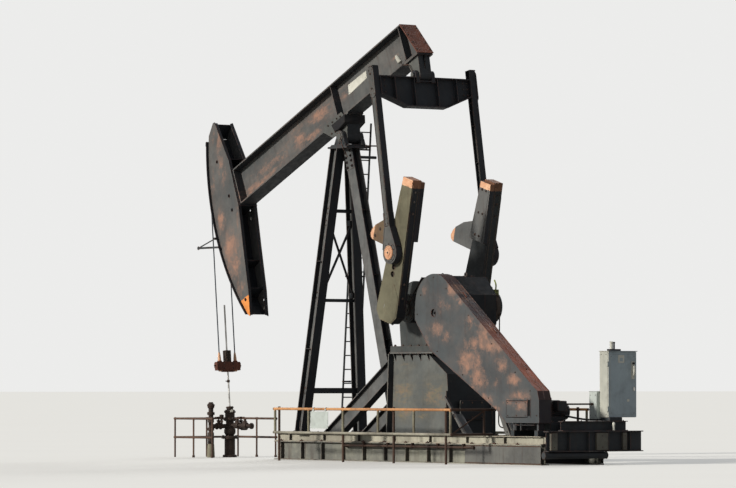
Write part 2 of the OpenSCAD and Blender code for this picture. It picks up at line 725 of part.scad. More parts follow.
bracket_z = 4720;
bracket_y = face_w / 2 + 8;
module line_bracket() color(charcoal) {
    root = -sqrt(pow(head_arm, 2) - pow(saddle_z - bracket_z, 2));
    block(-5550, root + 60, -bracket_y - 40, -bracket_y, bracket_z - 22, bracket_z + 22);
    block(root - 60, root + 60, -bracket_y - 1, -face_w / 2, bracket_z - 22, bracket_z + 22);
    strut([-5530, -bracket_y - 20, bracket_z], [root - 85, -bracket_y - 20, bracket_z + 200], 14);
    block(root - 115, root - 60, -bracket_y - 40, -face_w / 2, bracket_z + 170, bracket_z + 225);
}

tail_r = 120;
tail_half = 150;
tail_pin_r = 60;
module tail_bearing() color(steel_grey) at_beam() translate([tail_arm, 0, 0]) {
    difference() {
        slab_y(-tail_half, tail_half) {
            circle(r = tail_r);
            polygon([[-tail_r, 0], [tail_r, 0], [200, pivot_drop - 29], [-200, pivot_drop - 29]]);
        }
        bar_y(tail_pin_r + run, -tail_half - 1, tail_half + 1);
    }
    block(-260, 260, -beam_w / 2, beam_w / 2, pivot_drop - 30, pivot_drop);
}

// Equaliser and pitmans
pitman_in = crank_out + 17;
equal_top = -60;
equal_notch = tail_r + clear + 10;
lug_in = tail_half + clear + 2;
lug_out = lug_in + 85;
module equal_outline(m) polygon([[-pitman_in + m, equal_top - m], [-pitman_in + m, equal_top - equal_end + m],
    [-520, equal_top - equal_mid + m], [520, equal_top - equal_mid + m], [pitman_in - m, equal_top - equal_end + m],
    [pitman_in - m, equal_top - m], [lug_out, equal_top - m], [lug_in, -equal_notch - m],
    [-lug_in, -equal_notch - m], [-lug_out, equal_top - m]]);
equal_t = 22;
equal_ribs = [-800, -300, 300, 800];
module equaliser() color(charcoal) at_tail() {
    difference() {
        slab_x(-equal_w / 2, equal_w / 2) equal_outline(0);
        for (s = [0, 1]) mirror([s, 0, 0]) difference() {
            slab_x(equal_t / 2, equal_w / 2 + 1) equal_outline(equal_t);
            for (y = equal_ribs) block(0, equal_w, y - 9, y + 9, -equal_mid - 100, 0);
        }
    }
    for (s = [0, 1]) mirror([0, s, 0]) slab_y(-lug_out, -lug_in) {
        circle(r = 100);
        translate([-100, equal_top - 120]) square([200, 120 - equal_top]);
    }
    bar_y(tail_pin_r, -lug_out - 25, lug_out + 25);
}

flare = 560;
pitman_over = 150;
pitman_y = pitman_in + pitman_w / 2;
module pitman(side) color(charcoal) on_side(side) at_pin() translate([0, -pitman_y, flare])
    linear_extrude(height = pitman_len + pitman_over - flare) section(pitman_d, pitman_w, 14, 10);

module wrist_bearing(side) color(charcoal) on_side(side) at_pin() {
    slab_y(-pitman_in - pitman_w, -pitman_in) {
        circle(r = wrist_r);
        polygon([[-wrist_r, 0], [wrist_r, 0], [pitman_d / 2 + 20, flare], [-pitman_d / 2 - 20, flare]]);
    }
    bar_y(150, -pitman_in - pitman_w - 25, -pitman_in - pitman_w + 1);
}

// Carrier bar, rod and lines on the well line
along = 1 / cos(well_lean);
carrier_s = (2050 - gland_z) * along;
carrier_h = 190;
carrier_half = 310;
touch_z = saddle_z - line_r * sin(well_lean);
line_len = (touch_z - gland_z) * along - carrier_s - carrier_h / 2;
clamp_h = 260;
rod_top = 3430;
module carrier_bar() color(rust_red) at_well(gland_z) translate([0, 0, carrier_s]) difference() {
    block(-55, 55, -carrier_half, carrier_half, -carrier_h / 2, carrier_h / 2);
    translate([0, 0, -carrier_h]) cylinder(r = rod_r + seat, h = 2 * carrier_h);
}

module rod_clamp() color(charcoal) at_well(gland_z) translate([0, 0, carrier_s + carrier_h / 2]) difference() {
    block(-60, 60, -70, 70, seat, clamp_h);
    translate([0, 0, -1]) cylinder(r = rod_r + seat, h = clamp_h + 2);
}

module polished_rod() color(pale_grey) at_well(gland_z) translate([0, 0, carrier_s - carrier_h / 2])
    cylinder(r = rod_r, h = (rod_top - gland_z) * along - carrier_s + carrier_h / 2);

module polished_rod_lower() color(pale_grey) at_well(gland_z)
    cylinder(r = rod_r, h = carrier_s - carrier_h / 2);

module lifting_lines() color(charcoal) at_well(gland_z)
    for (s = [-1, 1]) translate([0, s * line_spread / 2, carrier_s + carrier_h / 2]) cylinder(r = line_d / 2, h = line_len);

base_rail(-1);  // base_rail_near
base_rail(1);  // base_rail_far
base_cross_beams();
upper_rail(-1);  // upper_rail_near
upper_rail(1);  // upper_rail_far
rear_beam();
front_leg(-1);  // front_leg_near
front_leg(1);  // front_leg_far
rear_leg();
post_bracing();
post_cap();
saddle_bearing();
ladder();
pedestal();
pedestal_brace(-1);  // pedestal_brace_near
pedestal_brace(1);  // pedestal_brace_far
reducer_housing();
brake_drum();
belt_guard();
motor();
motor_base();
panel_beam();
panel_box();
control_box();
guard_rail(-1);  // guard_rail_near
guard_rail(1);  // guard_rail_far
guard_return();
guard_posts();
sign_plate();
well_rail(-1);  // well_rail_near
well_rail(1);  // well_rail_far
well_rail_front();
wellhead();
stuffing_box();
crankshaft();
crank(-1);  // crank_near
crank(1);  // crank_far
crank_weight(-1);  // crank_weight_near
crank_weight(1);  // crank_weight_far
walking_beam();
tail_plate();
head_plate(-1);  // head_plate_near
head_plate(1);  // head_plate_far
head_face();
head_frame();
beam_saddle();
tail_bearing();
line_hanger();
line_bracket();
equaliser();
pitman(-1);  // pitman_near
pitman(1);  // pitman_far
wrist_bearing(-1);  // wrist_bearing_near
wrist_bearing(1);  // wrist_bearing_far
carrier_bar();
rod_clamp();
polished_rod();
polished_rod_lower();
lifting_lines();
panel_door();
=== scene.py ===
"""Looks of a conventional beam pumping unit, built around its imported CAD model. All lengths are in metres."""
import json
import math

import bmesh
import bpy
from mathutils import Matrix, Vector


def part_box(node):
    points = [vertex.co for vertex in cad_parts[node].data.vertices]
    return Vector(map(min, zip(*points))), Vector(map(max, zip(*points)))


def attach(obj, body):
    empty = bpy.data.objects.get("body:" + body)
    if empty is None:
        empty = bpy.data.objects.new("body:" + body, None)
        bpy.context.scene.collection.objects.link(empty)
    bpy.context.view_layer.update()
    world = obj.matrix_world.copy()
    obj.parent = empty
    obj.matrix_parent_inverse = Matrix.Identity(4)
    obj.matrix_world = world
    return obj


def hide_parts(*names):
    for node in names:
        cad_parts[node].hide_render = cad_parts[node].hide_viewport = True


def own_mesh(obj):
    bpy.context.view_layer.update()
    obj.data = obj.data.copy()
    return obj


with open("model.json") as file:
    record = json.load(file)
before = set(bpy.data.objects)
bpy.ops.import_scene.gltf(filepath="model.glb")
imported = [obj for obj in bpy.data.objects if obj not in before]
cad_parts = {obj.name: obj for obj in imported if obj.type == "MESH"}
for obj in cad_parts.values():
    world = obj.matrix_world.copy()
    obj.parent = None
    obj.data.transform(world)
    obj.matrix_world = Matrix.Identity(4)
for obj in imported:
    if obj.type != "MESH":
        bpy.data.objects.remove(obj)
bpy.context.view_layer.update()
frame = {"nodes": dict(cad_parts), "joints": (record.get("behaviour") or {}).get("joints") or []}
NODES = frame["nodes"]
JOINTS = {joint["name"]: joint for joint in frame["joints"]}

# Camera: far away, a little under eye height, with a long lens
IMAGE_WIDTH = 736
FOCAL_PIXELS = 4500
CAMERA_AT = Vector((80.1, -55.6, 1.56))
CAMERA_AIM = Vector((0.68, 0, 4.66))
camera_data = bpy.data.cameras.new("camera")
camera_data.sensor_width = 36
camera_data.lens = 36 * FOCAL_PIXELS / IMAGE_WIDTH
camera_data.clip_end = 3000
camera = bpy.data.objects.new("camera", camera_data)
camera.location = CAMERA_AT
camera.rotation_euler = (CAMERA_AIM - CAMERA_AT).to_track_quat("-Z", "Y").to_euler()
bpy.context.scene.collection.objects.link(camera)
bpy.context.scene.camera = camera
bpy.context.scene.view_settings.view_transform = "Standard"

# Places on the machine, from the joints
SADDLE = Vector(JOINTS["beam_swing"]["pos_m"])
SHAFT = Vector(JOINTS["crank_turn"]["pos_m"])
TAIL_PIN = Vector(JOINTS["pitman_swing"]["pos_m"])
LINE_WAY = Vector(JOINTS["rod_slide"]["axis"])
THROW = 1.2
CRANK_LEAN = math.radians(15.8)
WRIST = SHAFT + THROW * Vector((math.sin(CRANK_LEAN), 0, math.cos(CRANK_LEAN)))
BEAM_PITCH = math.atan2(TAIL_PIN.z - SADDLE.z, TAIL_PIN.x - SADDLE.x)
PITMAN_LEAN = math.atan2(WRIST.x - TAIL_PIN.x, TAIL_PIN.z - WRIST.z)
WELL_LEAN = math.atan2(-LINE_WAY.x, LINE_WAY.z)
LINE_RADIUS = 5.298


def turned(origin, angle):
    """Frame at origin, turned about Y."""
    return Matrix.Translation(origin) @ Matrix.Rotation(angle, 4, "Y")


def across(at, x, y=0.0):
    """Frame at x and y of another frame, with its X along that one's Y."""
    return at @ Matrix.Translation((x, y, 0)) @ Matrix.Rotation(math.pi / 2, 4, "Z")


def both(at):
    """The frame, and the same one mirrored in the machine's middle plane."""
    return at, at @ Matrix.Diagonal((1, -1, 1, 1))


def axes_of(way):
    """Unit vector along way, and two square to it."""
    way = Vector(way).normalized()
    side = way.orthogonal().normalized()
    return way, side, way.cross(side)


def drum(length, radius, cut, drop):
    """Profile of a disc whose rims are cut by `cut` along it and by `drop` in radius."""
    return [(0, radius - drop), (cut, radius), (length - cut, radius), (length, radius - drop)]


def well_point(z):
    """Middle of the well line at height z."""
    return Vector((-LINE_RADIUS / math.cos(WELL_LEAN) + (SADDLE.z - z) * math.tan(WELL_LEAN), 0, z))


WORLD = Matrix.Identity(4)
AT_BEAM = turned(SADDLE, -BEAM_PITCH)
AT_CRANK = turned(SHAFT, CRANK_LEAN)
AT_PIN = turned(WRIST, -PITMAN_LEAN)
AT_TAIL = turned(TAIL_PIN, -PITMAN_LEAN)
AT_CARRIER = turned(well_point(2.05), -WELL_LEAN)


def linear(rgb):
    """Linear colour of three screen values from 0 to 255."""
    return tuple((v / 255 / 12.92 if v < 10.3 else ((v / 255 + 0.055) / 1.055) ** 2.4) for v in rgb) + (1,)


class Shader:
    """A material whose nodes are added one call at a time. Sockets are linked, and numbers are set."""

    def __init__(self, name):
        self.material = bpy.data.materials.new(name)
        self.material.use_nodes = True
        self.tree = self.material.node_tree
        self.bsdf = self.tree.nodes["Principled BSDF"]
        spot = self.add("TexCoord")
        self.place = spot.outputs["Object"]
        self.facing = spot.outputs["Normal"]

    def add(self, kind, inputs=(), **settings):
        node = self.tree.nodes.new("ShaderNode" + kind)
        for key, value in settings.items():
            setattr(node, key, value)
        for key, value in dict(inputs).items():
            self.put(node.inputs[key], value)
        return node

    def put(self, socket, value):
        if isinstance(value, bpy.types.NodeSocket):
            self.tree.links.new(value, socket)
        else:
            socket.default_value = value

    def math(self, operation, a, b=0.0):
        return self.add("Math", {0: a, 1: b}, operation=operation).outputs[0]

    def times(self, a, b):
        return self.math("MULTIPLY", a, b)

    def axis(self, vector, index):
        """One part of a vector: 0 is X, 1 is Y, 2 is Z."""
        return self.add("SeparateXYZ", {0: vector}).outputs[index]

    def spread(self, value, low, high, to_low=0.0, to_high=1.0):
        keys = {"Value": value, "From Min": low, "From Max": high, "To Min": to_low, "To Max": to_high}
        return self.add("MapRange", keys, interpolation_type="SMOOTHSTEP").outputs["Result"]

    def mix(self, amount, a, b):
        """Mixes two colours, each of them a socket or three screen values."""
        node = self.add("Mix", data_type="RGBA")
        for index, value in ((0, amount), (6, a), (7, b)):
            self.put(node.inputs[index], linear(value) if isinstance(value, tuple) else value)
        return node.outputs[2]

    def local(self, origin=(0, 0, 0), angle=0.0, scale=(1, 1, 1)):
        """Coordinates in a frame at origin, turned about Y, in units of scale."""
        keys = {"Vector": self.place, "Location": origin, "Rotation": (0, angle, 0), "Scale": scale}
        return self.add("Mapping", keys, vector_type="TEXTURE").outputs[0]

    def noise(self, scale, detail=3.0, rough=0.55, where=None, seed=0.0):
        vector = self.place if where is None else where
        shift = (seed * 3.7, seed * 5.1, seed * 7.3)
        moved = self.add("VectorMath", {0: vector, 1: shift}, operation="ADD").outputs[0]
        keys = {"Vector": moved, "Scale": scale, "Detail": detail, "Roughness": rough}
        return self.add("TexNoise", keys).outputs["Fac"]

    def faces(self, axis, low, high, both_ways=False):
        """0 to 1 as the object's own normal turns along an axis."""
        part = self.axis(self.facing, axis)
        if both_ways:
            part = self.math("ABSOLUTE", part)
        return self.spread(part, low, high)

    def spots(self, centres, angle=0.0):
        """Soft patches: each is (x, z, half length, half height, strength), in the machine's frame."""
        total = None
        for x, z, long, high, strength in centres:
            where = self.local((x, 0, z), angle, (long, 1e4, high))
            distance = self.add("VectorMath", {0: where}, operation="LENGTH").outputs["Value"]
            near = self.spread(distance, 1.9, 0.0, 0.0, strength)
            total = near if total is None else self.math("MAXIMUM", total, near)
        return total

    def edges(self, radius, strength):
        """The given strength along sharp edges, and 0 elsewhere."""
        bevel = self.add("Bevel", {"Radius": radius}, samples=4).outputs[0]
        flat = self.add("NewGeometry").outputs["Normal"]
        dot = self.add("VectorMath", {0: bevel, 1: flat}, operation="DOT_PRODUCT").outputs["Value"]
        return self.times(self.spread(dot, 0.995, 0.9), strength)


RUST_DARK = (66, 42, 34)
RUST_MID = (122, 78, 60)
# Tones that bands take on faces away from the lit axis: painted shade
BAND_SHADE = ((96, 68, 54), (148, 106, 82))
PATCH_TONES = ((126, 106, 96), (166, 127, 107))


def weathered(name, light, dark, shade=None, rust=0.35, stains=0.3, rough=0.62, patches=(), angle=0.0,
              patch_tones=PATCH_TONES, wear=0.6, seed=0.0, metal=0.0, bands=(), lit_faces=(1, 0.25, 0.6, True),
              grain=(0.5, 1, 0.16), top=None):
    """Old outdoor paint: faded tones, run-down stains, flaked patches, rust specks and worn edges.
    Sides that face along Y have the light and dark tones as the lit paint, and shade gives the tones of the other
    sides, which are painted shade.
    bands are (origin, angle, from, light, dark): the paint has those tones beyond `from` along the turned Z.
    top is (light, dark, low, high): faces that look up are in those tones up to the height `low`,
    and less and less up to `high`."""
    s = Shader(name)
    broad = s.noise(0.9, 4, 0.6, seed=seed)
    fine = s.noise(9, 5, 0.65, seed=seed + 1)
    mottled = s.spread(s.math("ADD", s.times(broad, 0.7), s.times(fine, 0.3)), 0.36, 0.64)
    colour = s.mix(mottled, dark, light)
    lit_side_mask = None
    # Painted light and shade: faces along the lit axis keep the light and dark tones, and the other faces take
    # the shade tones
    if shade:
        lit_side_mask = s.faces(*lit_faces)
        colour = s.mix(lit_side_mask, s.mix(mottled, shade[1], shade[0]), colour)
    if top:
        height = s.axis(s.place, 2)
        blotch = s.spread(s.noise(1.6, 5, 0.65, seed=seed + 9), 0.4, 0.6)
        reach = s.math("MAXIMUM", s.spread(height, top[3], top[2]), s.times(blotch, 0.15))
        colour = s.mix(s.times(s.faces(2, 0.25, 0.55), reach), colour, s.mix(mottled, top[1], top[0]))
    for origin, band_angle, start, band_light, band_dark in bands:
        along = s.axis(s.local(origin, band_angle), 2)
        ragged = s.math("ADD", along, s.times(s.math("SUBTRACT", fine, 0.5), 0.05))
        tone = s.mix(mottled, band_dark, band_light)
        # Bands on faces away from the lit axis take the BAND_SHADE tones, painted shade
        if lit_side_mask is not None:
            tone = s.mix(lit_side_mask, s.mix(mottled, *BAND_SHADE), tone)
        colour = s.mix(s.spread(ragged, start - 0.01, start + 0.01), colour, tone)
    run_down = s.noise(1.0, 5, 0.6, s.local((0, 0, 0), angle, (0.09, 0.09, 1.1)), seed + 2)
    colour = s.mix(s.spread(run_down, 0.5, 0.78, 0, stains), colour, RUST_DARK)
    grime = s.noise(2.3, 6, 0.7, seed=seed + 3)
    colour = s.mix(s.spread(grime, 0.45, 0.8, 0, 0.4), colour, (52, 48, 42))
    specks = s.spread(s.noise(26, 6, 0.75, seed=seed + 4), 0.6 - 0.06 * rust, 0.72, 0, rust)
    flakes = specks
    if patches:
        streaked = s.noise(1.0, 8, 0.72, s.local((0, 0, 0), angle, grain), seed + 5)
        torn = s.math("ADD", s.times(streaked, 2.2), s.times(s.noise(11, 6, 0.75, seed=seed + 6), 1.5))
        shown = s.math("SUBTRACT", s.math("ADD", s.spots(patches, angle), torn), 2.15)
        patch = s.times(s.spread(shown, 0.0, 0.75), 0.88)
        wide = [(x, z, long * 1.5, high * 1.5, strength * 0.5) for x, z, long, high, strength in patches]
        haze = s.times(s.spots(wide, angle), s.spread(streaked, 0.38, 0.62, 0.15, 1.0))
        # Patches are fainter, and their haze is gone, on the faces in painted shade
        if lit_side_mask is not None:
            patch = s.times(patch, s.spread(lit_side_mask, 0.0, 1.0, 0.35, 1.0))
            haze = s.times(haze, lit_side_mask)
        colour = s.mix(haze, colour, patch_tones[0])
        tone = s.spread(s.noise(5, 6, 0.7, seed=seed + 7), 0.36, 0.66)
        colour = s.mix(patch, colour, s.mix(tone, *patch_tones))
        flakes = s.math("MAXIMUM", flakes, s.times(patch, 0.5))
    colour = s.mix(specks, colour, s.mix(fine, RUST_DARK, RUST_MID))
    worn = s.times(s.edges(0.012, wear), s.spread(s.noise(7, 4, 0.7, seed=seed + 8), 0.38, 0.6))
    colour = s.mix(worn, colour, RUST_MID)
    s.put(s.bsdf.inputs["Base Color"], colour)
    s.put(s.bsdf.inputs["Roughness"],
          s.math("ADD", s.spread(fine, 0.3, 0.7, rough - 0.1, rough + 0.12), s.times(flakes, 0.2)))
    s.put(s.bsdf.inputs["Metallic"], metal)
    s.bsdf.inputs["Specular IOR Level"].default_value = 0.12
    height = s.math("SUBTRACT", s.times(fine, 0.4), flakes)
    bump = s.add("Bump", {"Height": height, "Strength": 0.25, "Distance": 0.004}).outputs[0]
    s.put(s.bsdf.inputs["Normal"], bump)
    return s.material


def bare_metal(name, light, dark, rough=0.35, metal=1.0, rust=0.2, seed=0.0, ridge=None):
    """Turned, cast or drawn metal with oil film and specks of rust.
    ridge is (pitch, angle) and gives a rope its lay."""
    s = Shader(name)
    film = s.noise(5, 5, 0.65, seed=seed)
    fine = s.noise(60, 4, 0.6, seed=seed + 1)
    colour = s.mix(s.spread(film, 0.35, 0.65), dark, light)
    specks = s.spread(s.noise(18, 6, 0.75, seed=seed + 2), 0.55, 0.7, 0, rust)
    colour = s.mix(specks, colour, RUST_MID)
    s.put(s.bsdf.inputs["Base Color"], colour)
    s.put(s.bsdf.inputs["Roughness"],
          s.math("ADD", s.spread(film, 0.3, 0.7, rough - 0.08, rough + 0.1), s.times(specks, 0.4)))
    s.bsdf.inputs["Metallic"].default_value = metal
    height = s.math("SUBTRACT", s.times(fine, 0.5), specks)
    if ridge:
        lay = s.add("TexWave", {"Vector": s.local((0, 0, 0), ridge[1]), "Scale": ridge[0], "Distortion": 0.0},
                    bands_direction="DIAGONAL").outputs["Fac"]
        height = s.math("ADD", height, s.times(lay, 2.0))
    bump = s.add("Bump", {"Height": height, "Strength": 0.3, "Distance": 0.003}).outputs[0]
    s.put(s.bsdf.inputs["Normal"], bump)
    return s.material


# Tone pairs that weathered takes as shade: painted shade on the faces away from the lit axis. DARK is also the
# own colour of the inner parts
CHARCOAL_SHADE = ((56, 59, 62), (42, 45, 48))
DARK = ((46, 49, 53), (34, 36, 40))
FADED = ((104, 103, 100), (80, 82, 82))
ORANGE = (236, 192, 156)
ORANGE_DULL = (204, 140, 104)

# Flaked patches, as (x, z, half length, half height, strength), where the photograph shows them on each face
BEAM_PATCHES = [(-3.04, 6.55, 0.7, 0.11, 0.75), (-3.42, 6.2, 0.75, 0.1, 0.8), (-2.62, 6.74, 0.4, 0.12, 0.65),
                (-1.98, 7.1, 0.26, 0.2, 0.85), (-1.46, 7.07, 0.6, 0.1, 0.75), (-3.91, 5.89, 0.3, 0.14, 0.65),
                (-1.14, 7.53, 0.5, 0.14, 0.95), (-2.03, 6.95, 0.3, 0.17, 0.55), (-0.25, 7.95, 0.2, 0.14, 0.7),
                (1.9, 8.75, 0.4, 0.12, 0.4)]
HEAD_PATCHES = [(-4.84, 7.1, 0.13, 0.32, 0.65), (-4.79, 6.61, 0.12, 0.25, 0.75), (-4.62, 6.27, 0.1, 0.2, 0.65),
                (-5.06, 6.14, 0.1, 0.32, 0.55), (-4.73, 5.34, 0.16, 0.22, 0.95), (-4.23, 5.11, 0.16, 0.2, 0.55),
                (-4.34, 4.73, 0.32, 0.3, 1.0), (-4.18, 4.39, 0.28, 0.28, 0.85), (-3.9, 3.79, 0.15, 0.2, 0.65),
                (-4.07, 5.5, 0.06, 0.35, 0.65), (-5.07, 7.23, 0.1, 0.17, 0.55)]
GUARD_PATCHES = [(3.82, 3.61, 0.1, 0.14, 0.65), (4.87, 3.57, 0.2, 0.16, 1), (5.14, 3.37, 0.2, 0.14, 0.9),
                 (4.49, 3.31, 0.37, 0.16, 0.55), (4.3, 2.75, 0.28, 0.12, 1.05), (4.57, 2.63, 0.24, 0.12, 0.65), (5.48, 2.91, 0.28, 0.19, 0.6),
                 (5.93, 2.66, 0.28, 0.26, 0.9), (6.19, 2.42, 0.41, 0.14, 1.1), (5.48, 2.49, 0.28, 0.18, 0.75),
                 (5.44, 2.09, 0.37, 0.23, 1.1), (5.74, 1.82, 0.24, 0.21, 1.1), (5.1, 2.13, 0.2, 0.12, 0.55),
                 (6.0, 1.73, 0.28, 0.14, 0.55), (6.34, 1.69, 0.12, 0.14, 0.5), (6.52, 2.0, 0.28, 0.16, 0.75),
                 (6.96, 1.73, 0.24, 0.12, 0.8), (7.18, 1.4, 0.28, 0.09, 0.95), (7.22, 1.2, 0.24, 0.12, 1.0),
                 (6.82, 1.27, 0.2, 0.07, 0.55), (3.91, 2.5, 0.24, 0.12, 0.55), (5.48, 1.58, 0.24, 0.09, 0.55),
                 (6.0, 1.31, 0.24, 0.12, 0.65), (6.34, 1.13, 0.16, 0.07, 0.65)]
PEDESTAL_STAINS = [(2.74, 1.45, 0.37, 0.26, 0.7), (2.86, 2.04, 0.24, 0.09, 0.5), (3.91, 1.4, 0.37, 0.28, 0.6),
                   (2.78, 1.04, 0.45, 0.12, 0.7), (3.45, 0.99, 0.24, 0.07, 0.6)]

TIP_BANDS = [(SHAFT, CRANK_LEAN, 2.63, ORANGE, ORANGE_DULL),
             (SHAFT, CRANK_LEAN - math.pi / 2, 0.98, ORANGE, ORANGE_DULL)]
LOW_BAND = [(Vector((0, 0, 0)), math.pi, -0.66, (168, 164, 148), (120, 116, 104))]
# An entry's shade tones paint the shade on its faces away from the lit axis
PAINT = {
    "beam": weathered("beam_paint", *FADED, CHARCOAL_SHADE, rust=0.3, patches=BEAM_PATCHES, angle=-BEAM_PITCH,
                      seed=1),
    "head": weathered("head_paint", *FADED, DARK, rust=0.3, patches=HEAD_PATCHES, seed=2, grain=(0.2, 1, 0.4),
                      bands=[(SADDLE, math.pi - BEAM_PITCH, 1.63, (250, 164, 88), (222, 136, 72))]),
    "head_far": weathered("head_far_paint", *FADED, DARK, rust=0.35, seed=22),
    "frame": weathered("charcoal_paint", (72, 76, 78), (54, 58, 60), CHARCOAL_SHADE, rust=0.3, seed=3),
    "leg": weathered("leg_paint", (112, 112, 110), (84, 86, 86), DARK, rust=0.3, seed=23,
                     lit_faces=(1, 0.6, 0.9, True)),
    "inner": weathered("dark_paint", *DARK, rust=0.2, seed=4),
    "pitman": weathered("pitman_paint", (98, 98, 95), (74, 75, 74), DARK, angle=-PITMAN_LEAN, seed=5),
    "grey": weathered("grey_paint", (98, 99, 95), (80, 82, 80), CHARCOAL_SHADE, rust=0.25, seed=6),
    # The reducer's faces away from the lit axis take near-black tones: painted shade
    "reducer": weathered("reducer_paint", (84, 86, 84), (60, 64, 64), ((25, 28, 32), (17, 20, 24)),
                         rust=0.2, seed=26),
    "crank": weathered("crank_paint", (118, 114, 94), (96, 93, 76), DARK, rust=0.25, seed=7,
                       bands=TIP_BANDS[:1]),
    # The far crank's faces that don't look towards +Y, its inner face among them, take dark tones: painted shade
    # and painted shadow cast by the near crank
    "crank_far": weathered("crank_far_paint", (118, 114, 94), (96, 93, 76), ((56, 58, 58), (38, 42, 44)),
                           rust=0.25, seed=37, bands=TIP_BANDS[:1], lit_faces=(1, 0.25, 0.6)),
    "weight": weathered("weight_paint", (120, 92, 68), (92, 86, 72), DARK, rust=0.5, seed=8, bands=TIP_BANDS),
    "weight_far": weathered("weight_far_paint", (104, 104, 102), (86, 88, 88), DARK, rust=0.3, seed=38,
                            bands=TIP_BANDS),
    "guard": weathered("guard_paint", (86, 90, 91), (72, 76, 78), ((58, 52, 54), (42, 40, 44)),
                       rust=0.25, patches=GUARD_PATCHES, seed=9, grain=(0.34, 1, 0.3),
                       top=((156, 98, 80), (116, 74, 64), 2.55, 3.15)),
    "rust": weathered("rust_paint", (120, 76, 62), (84, 54, 46), rust=0.5, stains=0.5, seed=10),
    "pedestal": weathered("pedestal_paint", (108, 110, 106), (88, 91, 90), CHARCOAL_SHADE, rust=0.15, stains=0.15,
                          patches=PEDESTAL_STAINS, patch_tones=((126, 116, 92), (136, 112, 94)), seed=11,
                          grain=(0.6, 1, 0.2)),
    "base": weathered("base_paint", (150, 150, 136), (112, 112, 106), ((96, 94, 86), (64, 62, 60)),
                      rust=0.4, stains=0.5, seed=12),
    "upper": weathered("upper_base_paint", (184, 180, 162), (146, 142, 128), ((120, 116, 104), (84, 80, 74)),
                       rust=0.35, stains=0.35, seed=39),
    "plate": weathered("plate_paint", (112, 112, 107), (92, 92, 90), CHARCOAL_SHADE, stains=0.4, seed=28),
    "web": weathered("web_paint", (112, 110, 100), (84, 82, 76), rust=0.4, stains=0.4, seed=40),
    "orange": weathered("orange_paint", (212, 158, 108), (170, 122, 86), rust=0.45, stains=0.35, seed=13,
                        bands=LOW_BAND),
    "brown": weathered("brown_paint", (84, 66, 56), (56, 46, 42), rust=0.6, stains=0.5, seed=29),
    "panel": weathered("panel_paint", (192, 192, 180), (174, 175, 165), ((168, 180, 184), (156, 167, 172)),
                       rust=0.06, stains=0.1, seed=14, wear=0.25),
    "cream": weathered("cream_paint", (196, 204, 198), (176, 182, 176), rust=0.12, stains=0.15, seed=15,
                       wear=0.3),
    "post": weathered("post_paint", (146, 142, 122), (110, 104, 88), rust=0.5, stains=0.5, seed=30),
    "iron": weathered("raw_iron", (70, 60, 54), (42, 38, 36), rust=0.5, seed=16, metal=0.3),
    "rail": weathered("well_rail_paint", (104, 82, 70), (70, 56, 50), rust=0.6, seed=17),
    "bolt": weathered("bolt_paint", (84, 80, 76), (52, 48, 46), rust=0.5, stains=0.2, seed=31, wear=0.3),
    "tip": weathered("tip_paint", ORANGE, ORANGE_DULL, rust=0.3, stains=0.2, seed=32),
    "hose": weathered("hose_rubber", (40, 40, 42), (28, 28, 30), rust=0.1, rough=0.75, seed=33, wear=0.1),
    "lime": weathered("lime_paint", (158, 168, 96), (120, 128, 76), rust=0.3, seed=34),
    # Flat black for gaps and openings: painted shade
    "gap_shade": weathered("gap_shade_black", (11, 11, 12), (6, 6, 7), rust=0.0, stains=0.0, seed=41, wear=0.0),
    "pale": weathered("pale_paint", (214, 212, 200), (186, 184, 172), rust=0.1, stains=0.1, seed=35, wear=0.2),
}
PAINT["steel"] = bare_metal("bright_steel", (170, 168, 164), (120, 118, 114), seed=20)
PAINT["rope"] = bare_metal("wire_rope", (74, 82, 88), (40, 46, 52), rough=0.55, metal=0.6, seed=21,
                           ridge=(42, WELL_LEAN))
PAINT["copper"] = bare_metal("copper_bar", (196, 126, 92), (150, 92, 66), rough=0.4, rust=0.0, seed=36)

LOOK = {
    "beam": ["walking_beam"],
    "head": ["head_plate_near"],
    "head_far": ["head_plate_far"],
    "frame": ["saddle_bearing", "post_cap", "post_bracing", "ladder", "brake_drum", "motor_base", "panel_beam",
              "rear_beam", "line_bracket", "base_cross_beams"],
    "leg": ["front_leg_near", "front_leg_far", "rear_leg", "pedestal_brace_near", "pedestal_brace_far"],
    "inner": ["head_face", "head_frame", "motor", "equaliser"],
    "pitman": ["pitman_near", "pitman_far", "wrist_bearing_near", "wrist_bearing_far"],
    "grey": ["beam_saddle", "tail_bearing"],
    "reducer": ["reducer_housing"],
    "crank": ["crank_near"],
    "crank_far": ["crank_far"],
    "weight": ["crank_weight_near"],
    "weight_far": ["crank_weight_far"],
    "guard": ["belt_guard"],
    "rust": ["tail_plate", "carrier_bar"],
    "pedestal": ["pedestal"],
    "base": ["base_rail_near", "base_rail_far"],
    "upper": ["upper_rail_near", "upper_rail_far"],
    "orange": ["guard_rail_near", "guard_rail_far"],
    "brown": ["guard_return", "guard_posts"],
    "panel": ["panel_box", "panel_door"],
    "cream": ["control_box", "sign_plate"],
    "rail": ["well_rail_near", "well_rail_far", "well_rail_front"],
    "iron": ["wellhead", "stuffing_box", "rod_clamp"],
    "steel": ["crankshaft", "polished_rod", "polished_rod_lower"],
    "rope": ["line_hanger", "lifting_lines"],
}


def dress(node, material):
    """Gives a CAD node its finish."""
    slots = NODES[node].material_slots
    for used in slots:
        used.material = material
    if not slots:
        NODES[node].data.materials.append(material)


for look, members in LOOK.items():
    for member in members:
        dress(member, PAINT[look])


def rounded(points, bend):
    """The polyline with its corners rounded off over the length bend."""
    points = [Vector(p) for p in points]
    path = [points[0]]
    for before, corner, after in zip(points, points[1:], points[2:]):
        a = corner + (before - corner).normalized() * min(bend, (before - corner).length / 2)
        b = corner + (after - corner).normalized() * min(bend, (after - corner).length / 2)
        path += [a.lerp(corner, t).lerp(corner.lerp(b, t), t) for t in (0, 0.2, 0.4, 0.6, 0.8, 1)]
    return path + [points[-1]]


